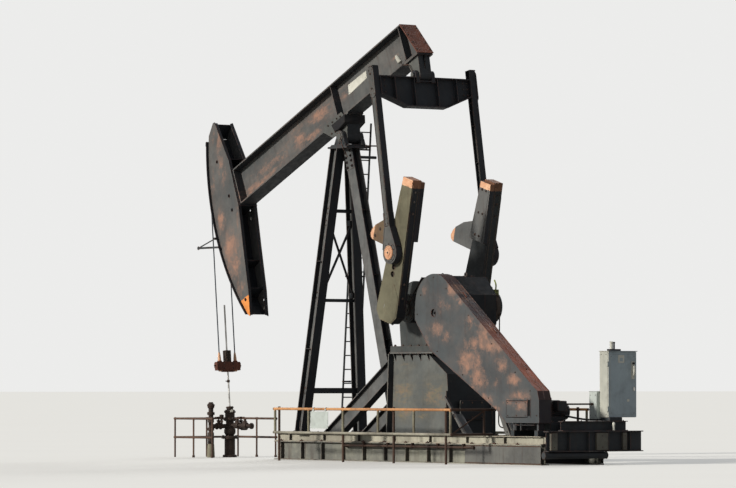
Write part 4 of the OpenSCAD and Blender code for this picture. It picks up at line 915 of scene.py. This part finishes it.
# Terminal box with its conduit to the control box
motor.block(WORLD, (7.44, 7.6), (-0.16, 0.08), (1.08, 1.3), "inner", 0.008)
motor.block(WORLD, (7.6, 7.612), (-0.15, 0.07), (1.09, 1.29), "frame")
motor.bolts(WORLD, [(7.612, y, z) for y in (-0.13, 0.05) for z in (1.11, 1.27)], AHEAD, 0.009)
motor.bar(WORLD, (7.4, -0.04, 1.19), (7.46, -0.04, 1.19), 0.03, "iron")
motor.pipe(WORLD, [(7.53, 0.08, 1.23), (7.53, 0.81, 1.23)], 0.018, "brown", 0)
for y in (0.1, 0.79):
    motor.turn(WORLD, (7.53, y - 0.02, 1.23), FAR, [(0, 0.028), (0.03, 0.028)], "iron", 8)
motor.pipe(WORLD, [(7.5, 0.1, 1.0), (7.56, 0.25, 0.96), (7.66, 0.55, 0.91), (7.7, 0.9, 0.91)],
           0.02, "hose", 0.16)
motor.bolts(WORLD, [(x, y, 0.86) for x in (6.84, 7.66) for y in (-0.36, 0.24)], UP, 0.018)
motor.bolts(WORLD, [(x, y, 0.7) for x in (6.85, 7.65) for y in (0.4, 0.68)], UP, 0.02)
motor.bar(WORLD, (6.62, 0.0, 0.78), (6.8, 0.0, 0.78), 0.02, "steel")
motor.bolt(WORLD, (6.62, 0.0, 0.78), BACK, 0.03)
motor.block(WORLD, (6.7, 6.73), (-0.12, 0.12), (0.58, 0.84), "frame")
motor.done()

# Base
base = Piece("base_fittings", "frame", "base_paint")
for at in both(WORLD):
    for x in [-1.5 + 0.78 * i for i in range(12)]:
        # Stiffeners in the lower rail and the clamps that hold the upper one
        base.block(across(at, x, -0.7), (-0.098, -0.008), (-0.006, 0.006), (0.022, 0.388), "base")
        base.block(at, (x - 0.05, x + 0.05), (-0.8, -0.74), (0.41, 0.432), "brown")
        base.bolts(at, [(x, -0.782, 0.432)], UP, 0.015)
    for x in [-1.2 + 1.3 * i for i in range(7)]:
        base.block(across(at, x, -0.7), (-0.073, -0.006), (-0.005, 0.005), (0.426, 0.564), "base")
    # Boxed length of the lower rail at the motor's end
    base.block(at, (5.3, 7.88), (-0.802, -0.79), (0.03, 0.38), "plate")
    base.block(at, (5.3, 7.88), (-0.808, -0.79), (0.012, 0.028), "brown")
    base.pipe(at, [(5.31, -0.802, 0.375), (7.87, -0.802, 0.375)], 0.007, "brown", 0, 6)
    base.bolts(at, [(x, -0.76, 0.58) for x in (5.0, 5.6, 6.3)], UP, 0.014)
# Pipe along the near rail with its clamps
base.pipe(WORLD, [(0.97, -0.83, 0.335), (5.62, -0.83, 0.335)], 0.024, "brown", 0)
base.turn(WORLD, (5.58, -0.83, 0.335), AHEAD, [(0, 0.034), (0.07, 0.034), (0.08, 0.028)], "iron", 16)
base.pipe(WORLD, [(1.02, -0.83, 0.335), (0.95, -0.83, 0.335), (0.95, -0.7, 0.3)], 0.024, "brown", 0.05)
for x in (1.71, 2.6, 3.49, 4.4, 5.3):
    base.block(WORLD, (x - 0.02, x + 0.02), (-0.862, -0.8), (0.3, 0.41), "iron")
    base.bolts(WORLD, [(x, -0.862, 0.39)], NEAR, 0.01)
for y, way in ((-0.62, NEAR), (0.62, FAR)):
    base.turn(WORLD, (7.972, y, 0.196), way, [(0.17, 0.076), (0.176, 0.076)], "iron", 28)
for y, wide in ((-0.66, 0.16), (0.5, 0.3), (1.18, 0.1)):
    # Lighter plates in the web of the rear beam
    base.block(WORLD, (7.986, 8.046), (y, y + wide), (0.3, 0.65), "web")
    base.bolts(WORLD, [(8.046, y + wide / 2, z) for z in (0.36, 0.59)], AHEAD, 0.009)
for x in (-1.68, 7.86):
    base.bar(WORLD, (x, -0.6, 0.2), (x, 0.6, 0.2), 0.045, "brown", 20)
base.done()

# Control panel and control box
panel = Piece("panel_fittings", "frame", "panel_paint")
panel.pipe(WORLD, [(7.8, 1.07, 2.33), (7.8, 1.07, 2.49)], 0.034, "pale", 0)
panel.turn(WORLD, (7.8, 1.07, 2.48), UP, [(0, 0.04), (0.02, 0.04), (0.03, 0.02)], "pale", 20)
panel.pipe(WORLD, [(7.8, 1.14, 2.33), (7.8, 1.14, 2.48)], 0.017, "hose", 0)
panel.turn(WORLD, (7.8, 1.14, 2.47), UP, [(0, 0.022), (0.02, 0.022), (0.03, 0.01)], "hose", 16)
panel.block(WORLD, (7.74, 7.86), (1.0, 1.27), (2.312, 2.352), "inner")
panel.block(WORLD, (7.64, 7.66), (0.9, 1.59), (1.1, 1.13), "panel")
panel.block(WORLD, (7.64, 7.66), (0.9, 1.59), (2.1, 2.13), "panel")
panel.bolts(WORLD, [(x, 0.885, z) for x in (7.7, 7.86) for z in (1.02, 2.24)], NEAR, 0.007)
# Switchgear on its back plate
panel.block(WORLD, (7.66, 7.672), (0.93, 1.56), (1.05, 2.22), "pale")
for z in (1.95, 1.62):
    for y in (1.0, 1.16, 1.32, 1.48):
        panel.block(WORLD, (7.672, 7.76), (y - 0.06, y + 0.06), (z - 0.1, z + 0.1), "hose", 0.005)
        panel.bolts(WORLD, [(7.76, y, z - 0.07), (7.76, y, z + 0.07)], AHEAD, 0.008)
        panel.bar(WORLD, (7.7, y, z - 0.1), (7.7, y, z - 0.22), 0.007, "copper", 8)
for y in (1.02, 1.1, 1.18):
    panel.block(WORLD, (7.7, 7.712), (y - 0.01, y + 0.01), (1.1, 2.16), "copper", 0.002)
panel.block(WORLD, (7.672, 7.74), (1.28, 1.52), (1.12, 1.34), "iron", 0.004)
# Straps and glands under the panel
for y in (0.93, 1.14):
    panel.block(WORLD, (7.72, 7.97), (y - 0.015, y + 0.015), (0.89, 0.96), "frame")
panel.turn(WORLD, (8.026, 0.95, 0.695), UP,
           [(0, 0.024), (0.1, 0.024), (0.11, 0.03), (0.15, 0.03), (0.17, 0.016)], "pale", 20)
panel.block(WORLD, (7.99, 8.03), (0.935, 0.965), (0.72, 0.75), "iron")
panel.bar(WORLD, (7.95, 1.08, 0.89), (7.95, 1.08, 0.96), 0.022, "iron")
panel.block(WORLD, (7.388, 7.4), (0.83, 1.04), (0.96, 1.45), "cream", 0.004)
panel.block(WORLD, (7.39, 7.66), (0.8, 1.07), (1.484, 1.494), "cream")
panel.block(WORLD, (7.41, 7.64), (0.804, 0.811), (0.96, 1.45), "cream", 0.003)
panel.bolts(WORLD, [(x, 0.804, z) for x in (7.44, 7.61) for z in (1.0, 1.41)], NEAR, 0.007)
panel.turn(WORLD, (7.388, 0.9, 1.2), BACK, [(0, 0.02), (0.014, 0.02), (0.02, 0.012)], "steel", 16)
panel.bolts(WORLD, [(7.92, y, 0.89) for y in (-0.25, 0.2, 0.6, 1.28)], UP, 0.014)
panel.done()

door = Piece("door_fittings", "door_set", "panel_paint")
door.block(WORLD, (7.94, 7.944), (0.93, 1.56), (1.02, 2.24), "panel", 0.002)
door.block(WORLD, (7.94, 7.948), (1.13, 1.29), (2.07, 2.23), "pale", 0.002)
door.block(WORLD, (7.948, 7.95), (1.17, 1.25), (2.1, 2.17), "panel", 0.001)
door.block(WORLD, (7.944, 7.95), (1.47, 1.555), (1.74, 2.1), "pale", 0.002)
door.slab(WORLD, [(7.95, 1.8), (8.01, 1.82), (8.01, 2.0), (7.95, 2.02)], 1.49, 1.535, "pale", 0.006)
door.bar(WORLD, (7.95, 1.512, 2.06), (7.99, 1.512, 2.06), 0.022, "hose")
door.block(WORLD, (7.944, 7.956), (1.52, 1.56), (1.5, 1.58), "steel", 0.003)
door.bolts(WORLD, [(7.944, y, z) for y in (0.95, 1.54) for z in (1.05, 2.2)], AHEAD, 0.006)
door.block(WORLD, (7.944, 7.947), (1.36, 1.42), (1.28, 1.33), "pale", 0.001)
door.done()

# Wellhead: flanges, stack, valves and gland
well = Piece("wellhead_fittings", "frame", "raw_iron")
AT_WELL = Matrix.Translation((well_point(1.08).x, 0, 0))
for z, r in ((0.43, 0.195), (0.83, 0.15), (1.0, 0.13)):
    well.turn(AT_WELL, (0, 0, z), UP, drum(0.048, r, 0.008, 0.006), "iron", 32)
    well.bolt_circle(AT_WELL, (0, 0, z + 0.048), UP, r - 0.035, 8, 0.016)
    well.bolt_circle(AT_WELL, (0, 0, z), DOWN, r - 0.035, 8, 0.014)
well.turn(AT_WELL, (0, 0, 0.5), UP, [(0, 0.1), (0.05, 0.13), (0.12, 0.13), (0.17, 0.1)], "iron", 28)
well.turn(AT_WELL, (0, 0, 0), UP, [(0.0, 0.16), (0.05, 0.16), (0.06, 0.13)], "iron", 28)
for z, r in ((0.6, 0.075), (0.78, 0.07), (0.95, 0.085), (1.1, 0.075)):
    well.turn(AT_WELL, (0, -0.508, z), UP, drum(0.07, r, 0.01, 0.01), "iron", 24)
well.turn(AT_WELL, (0, -0.508, 1.12), UP,
          [(0, 0.06), (0.03, 0.085), (0.07, 0.085), (0.1, 0.05), (0.12, 0.05)], "iron", 24)
well.turn(AT_WELL, (0, -0.508, 0.3), UP, [(0, 0.07), (0.26, 0.07)], "iron", 20)
well.turn(AT_WELL, (0, -0.508, 0), UP, [(0, 0.09), (0.3, 0.075)], "post", 20)
for y in (-0.3, 0.3):
    # Gate valves in the side outlets
    well.turn(AT_WELL, (0, y - 0.06, 0.7), FAR,
              [(0, 0.075), (0.02, 0.075), (0.03, 0.055), (0.09, 0.055), (0.1, 0.075), (0.12, 0.075)], "iron")
    well.turn(AT_WELL, (0, y, 0.74), UP,
              [(0, 0.04), (0.06, 0.035), (0.07, 0.05), (0.09, 0.05), (0.1, 0.018), (0.17, 0.018)], "iron", 20)
    well.wheel(AT_WELL, (0, y, 0.9), UP, 0.08, "brown")
well.turn(AT_WELL, (0, 0.56, 0.7), FAR, [(0, 0.07), (0.05, 0.07), (0.06, 0.055)], "iron", 8)
for x in (0.3, 0.62):
    # Valves on the outlet towards the machine
    well.turn(AT_WELL, (x - 0.08, 0, 0.72), AHEAD, drum(0.16, 0.075, 0.03, 0.015), "iron", 20)
    well.turn(AT_WELL, (x, 0, 0.76), UP, [(0, 0.05), (0.05, 0.05), (0.07, 0.03), (0.12, 0.03)], "iron", 16)
    well.bar(AT_WELL, (x - 0.1, 0, 0.87), (x + 0.1, 0, 0.87), 0.012, "brown", 10)
well.pipe(AT_WELL, [(0, 0, 0.72), (0.86, 0, 0.72)], 0.035, "iron", 0)
well.turn(AT_WELL, (0.84, 0, 0.72), AHEAD, [(0, 0.05), (0.05, 0.05), (0.06, 0.04)], "iron", 8)
well.pipe(AT_WELL, [(0, 0, 0.72), (-0.34, 0, 0.72), (-0.34, 0, 0.88)], 0.028, "iron", 0.06)
well.turn(AT_WELL, (-0.34, 0, 0.86), UP,
          [(0, 0.045), (0.04, 0.045), (0.05, 0.05), (0.09, 0.05), (0.1, 0.02)], "iron", 20)
well.bar(AT_WELL, (-0.4, 0, 0.8), (-0.28, 0, 0.8), 0.01, "brown", 8)
# Gland of the stuffing box, with its bolts and oil cup
GLAND = turned(well_point(1.14), -WELL_LEAN)
well.turn(GLAND, (0, 0, -0.035), UP, [(0, 0.082), (0.006, 0.088), (0.024, 0.088), (0.03, 0.07)], "iron", 28)
well.bolts(GLAND, [(s * 0.062, t * 0.032, -0.006) for s in (-1, 1) for t in (-1, 1)], UP, 0.01)
well.turn(GLAND, (0, 0, -0.12), UP, [(0, 0.08), (0.02, 0.084), (0.03, 0.078)], "steel", 28)
well.turn(AT_WELL, (0.12, -0.05, 1.02), (1, -0.4, 0.3),
          [(0, 0.016), (0.06, 0.016), (0.065, 0.03), (0.11, 0.03)], "pale", 14)
well.done()

# Carrier bar: sockets of the lines, end plates, clamp and bolts
carrier = Piece("carrier_fittings", "rod_set", "rust_paint")
SOCKET = [(0, 0.03), (0.03, 0.042), (0.06, 0.042), (0.3, 0.036), (0.4, 0.024), (0.43, 0.018)]
for at in both(AT_CARRIER):
    carrier.turn(at, (0, -0.21, -0.12), UP, SOCKET, "tip", 20)
    carrier.turn(at, (0, -0.21, 0.095), UP, [(0, 0.055), (0.02, 0.055), (0.026, 0.05)], "rust", 20)
    carrier.block(at, (-0.066, 0.066), (-0.318, -0.27), (-0.04, 0.07), "rust", 0.004)
    carrier.bar(at, (0, -0.36, 0.01), (0, -0.3, 0.01), 0.016, "iron", 12)
    carrier.bolts(at, [(-0.055, -0.12, z) for z in (-0.05, 0.05)], BACK, 0.014)
    carrier.bolts(at, [(0.055, -0.12, z) for z in (-0.05, 0.05)], AHEAD, 0.014)
carrier.slab(AT_CARRIER, [(-0.05, -0.1), (0.05, -0.1), (0.04, -0.13), (-0.04, -0.13)], -0.16, 0.16,
             "rust", 0.008)
for z in (0.14, 0.2, 0.27, 0.33):
    carrier.bolts(AT_CARRIER, [(0.06, y, z) for y in (-0.045, 0.045)], AHEAD, 0.012)
    carrier.bolts(AT_CARRIER, [(-0.06, y, z) for y in (-0.045, 0.045)], BACK, 0.012)
carrier.block(AT_CARRIER, (-0.064, 0.064), (-0.004, 0.004), (0.11, 0.35), "hose", 0.001)
# Collar on the rod, with its screw
carrier.turn(AT_CARRIER, (0, 0, -0.37), UP, drum(0.06, 0.034, 0.008, 0.008), "iron", 20)
carrier.bar(AT_CARRIER, (0, -0.03, -0.34), (0, -0.075, -0.34), 0.01, "iron", 10)
carrier.done()

# Lines between the carrier bar and the head, which takes them up as the rod rises
ropes = Piece("lifting_ropes", "rod_set", "wire_rope")
ROPE_R = 0.014
rope_low, rope_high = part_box("lifting_lines")
rope_half_gap = rope_high[1] - ROPE_R
rope_foot = well_point(rope_low[2] + ROPE_R * math.sin(WELL_LEAN))
rope_top = well_point(rope_high[2] - ROPE_R * math.sin(WELL_LEAN))
for aside in (-rope_half_gap, rope_half_gap):
    offset = Vector((0, aside, 0))
    ropes.bar(WORLD, rope_foot + offset, rope_top + offset, ROPE_R, "rope")
rope_piece = ropes.done()
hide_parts("lifting_lines")
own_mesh(rope_piece)

# Rails: clamps, caps, uprights, collars and the sign's straps
rails = Piece("rail_fittings", "frame", "orange_paint")
BARS_Z = (0.608, 1.112)
WELL_BARS_Z = (0.45, 0.87)
for at in both(WORLD):
    for x in (-0.22, 2.19, 4.03, 5.87):
        for z in BARS_Z:
            rails.block(at, (x - 0.034, x + 0.034), (-1.752, -1.668), (z - 0.022, z + 0.022), "brown", 0.004)
            rails.bolts(at, [(x - 0.034, -1.722, z)], BACK, 0.009)
            rails.bolts(at, [(x + 0.034, -1.722, z)], AHEAD, 0.009)
        rails.turn(at, (x, -1.6957, 1.15), UP, [(0, 0.03), (0.008, 0.03), (0.012, 0.022)], "brown", 16)
    for x in (-0.3, 0.98, 2.26, 3.54, 4.82, 6.1):
        rails.turn(at, (x, -1.75, 0.64), UP, [(0, 0.0275), (0.435, 0.0275)], "post", 20)
    for x, way in ((-0.352, BACK), (6.152, AHEAD)):
        for z in BARS_Z:
            rails.turn(at, (x, -1.75, z), way, [(-0.01, 0.0275), (0.0, 0.0275), (0.006, 0.02)], "brown", 16)
    for x in (-5.7, -4.93, -4.16):
        for z in WELL_BARS_Z:
            rails.turn(at, (x - 0.023, -0.85, z), AHEAD, drum(0.058, 0.03, 0.004, 0.004), "rail", 16)
            rails.bolts(at, [(x, -0.82, z)], FAR, 0.008)
        if x > -5.7:
            rails.turn(at, (x, -0.85, 0.0), UP, [(0, 0.032), (0.05, 0.03)], "brown", 16)
for x in (1.2, 1.65):
    rails.ring(WORLD, (x, -1.75, 1.112), AHEAD, 0.03, 0.006, "iron")
for z in WELL_BARS_Z:
    rails.turn(WORLD, (-5.694, -0.03, z), FAR, drum(0.06, 0.03, 0.004, 0.004), "rail", 16)
rails.done()

# Floor, backdrop and lights
FLOOR_TONE = (226, 224, 218)
floor_shader = Shader("floor")
grain = floor_shader.noise(0.15, 3)
pale = floor_shader.mix(grain, FLOOR_TONE, (222, 220, 214))
rays = floor_shader.add("LightPath").outputs
seen = floor_shader.math("MAXIMUM", rays["Is Camera Ray"],
                         floor_shader.math("MAXIMUM", rays["Is Glossy Ray"], rays["Is Transmission Ray"]))
floor_shader.put(floor_shader.bsdf.inputs["Base Color"], floor_shader.mix(seen, (148, 146, 138), pale))
floor_shader.bsdf.inputs["Roughness"].default_value = 0.9
floor_shader.bsdf.inputs["Specular IOR Level"].default_value = 0.0
FLOOR_GLOW = 0.17
floor_shader.put(floor_shader.bsdf.inputs["Emission Color"], pale)
floor_shader.put(floor_shader.bsdf.inputs["Emission Strength"], floor_shader.times(seen, FLOOR_GLOW))
FLOOR_HALF = 1500
floor_mesh = bpy.data.meshes.new("floor")
corners = [(x * FLOOR_HALF, y * FLOOR_HALF, 0) for x, y in ((-1, -1), (1, -1), (1, 1), (-1, 1))]
floor_mesh.from_pydata(corners, [], [(0, 1, 2, 3)])
floor = bpy.data.objects.new("floor", floor_mesh)
floor.data.materials.append(floor_shader.material)
bpy.context.scene.collection.objects.link(floor)

world = bpy.data.worlds.new("studio")
world.use_nodes = True
bpy.context.scene.world = world
tree = world.node_tree
background = tree.nodes["Background"]
path = tree.nodes.new("ShaderNodeLightPath")
seen = path.outputs["Is Camera Ray"]
for ray in ("Is Glossy Ray", "Is Transmission Ray"):
    either = tree.nodes.new("ShaderNodeMath")
    either.operation = "MAXIMUM"
    tree.links.new(seen, either.inputs[0])
    tree.links.new(path.outputs[ray], either.inputs[1])
    seen = either.outputs[0]
shade = tree.nodes.new("ShaderNodeMix")
shade.data_type = "RGBA"
AMBIENT = 0.3
SKY = 0.84
tree.links.new(seen, shade.inputs[0])
shade.inputs[6].default_value = (AMBIENT * 0.93, AMBIENT * 0.98, AMBIENT * 1.08, 1)
shade.inputs[7].default_value = (SKY, SKY, SKY * 0.99, 1)
tree.links.new(shade.outputs[2], background.inputs["Color"])

# The key light is the sun of the photograph; the fill one only reaches the sides that the camera doesn't see
for name, way, energy, angle, tint in (("key", (-0.08, -0.93, 0.36), 3.3, 6, (1.0, 0.96, 0.9)),
                                       ("fill", (-0.45, 0.8, 0.4), 1.8, 20, (0.95, 0.98, 1.0))):
    sun_data = bpy.data.lights.new(name, "SUN")
    sun_data.energy = energy
    sun_data.angle = math.radians(angle)
    sun_data.color = tint
    sun = bpy.data.objects.new(name, sun_data)
    sun.rotation_euler = Vector(way).to_track_quat("Z", "Y").to_euler()
    bpy.context.scene.collection.objects.link(sun)
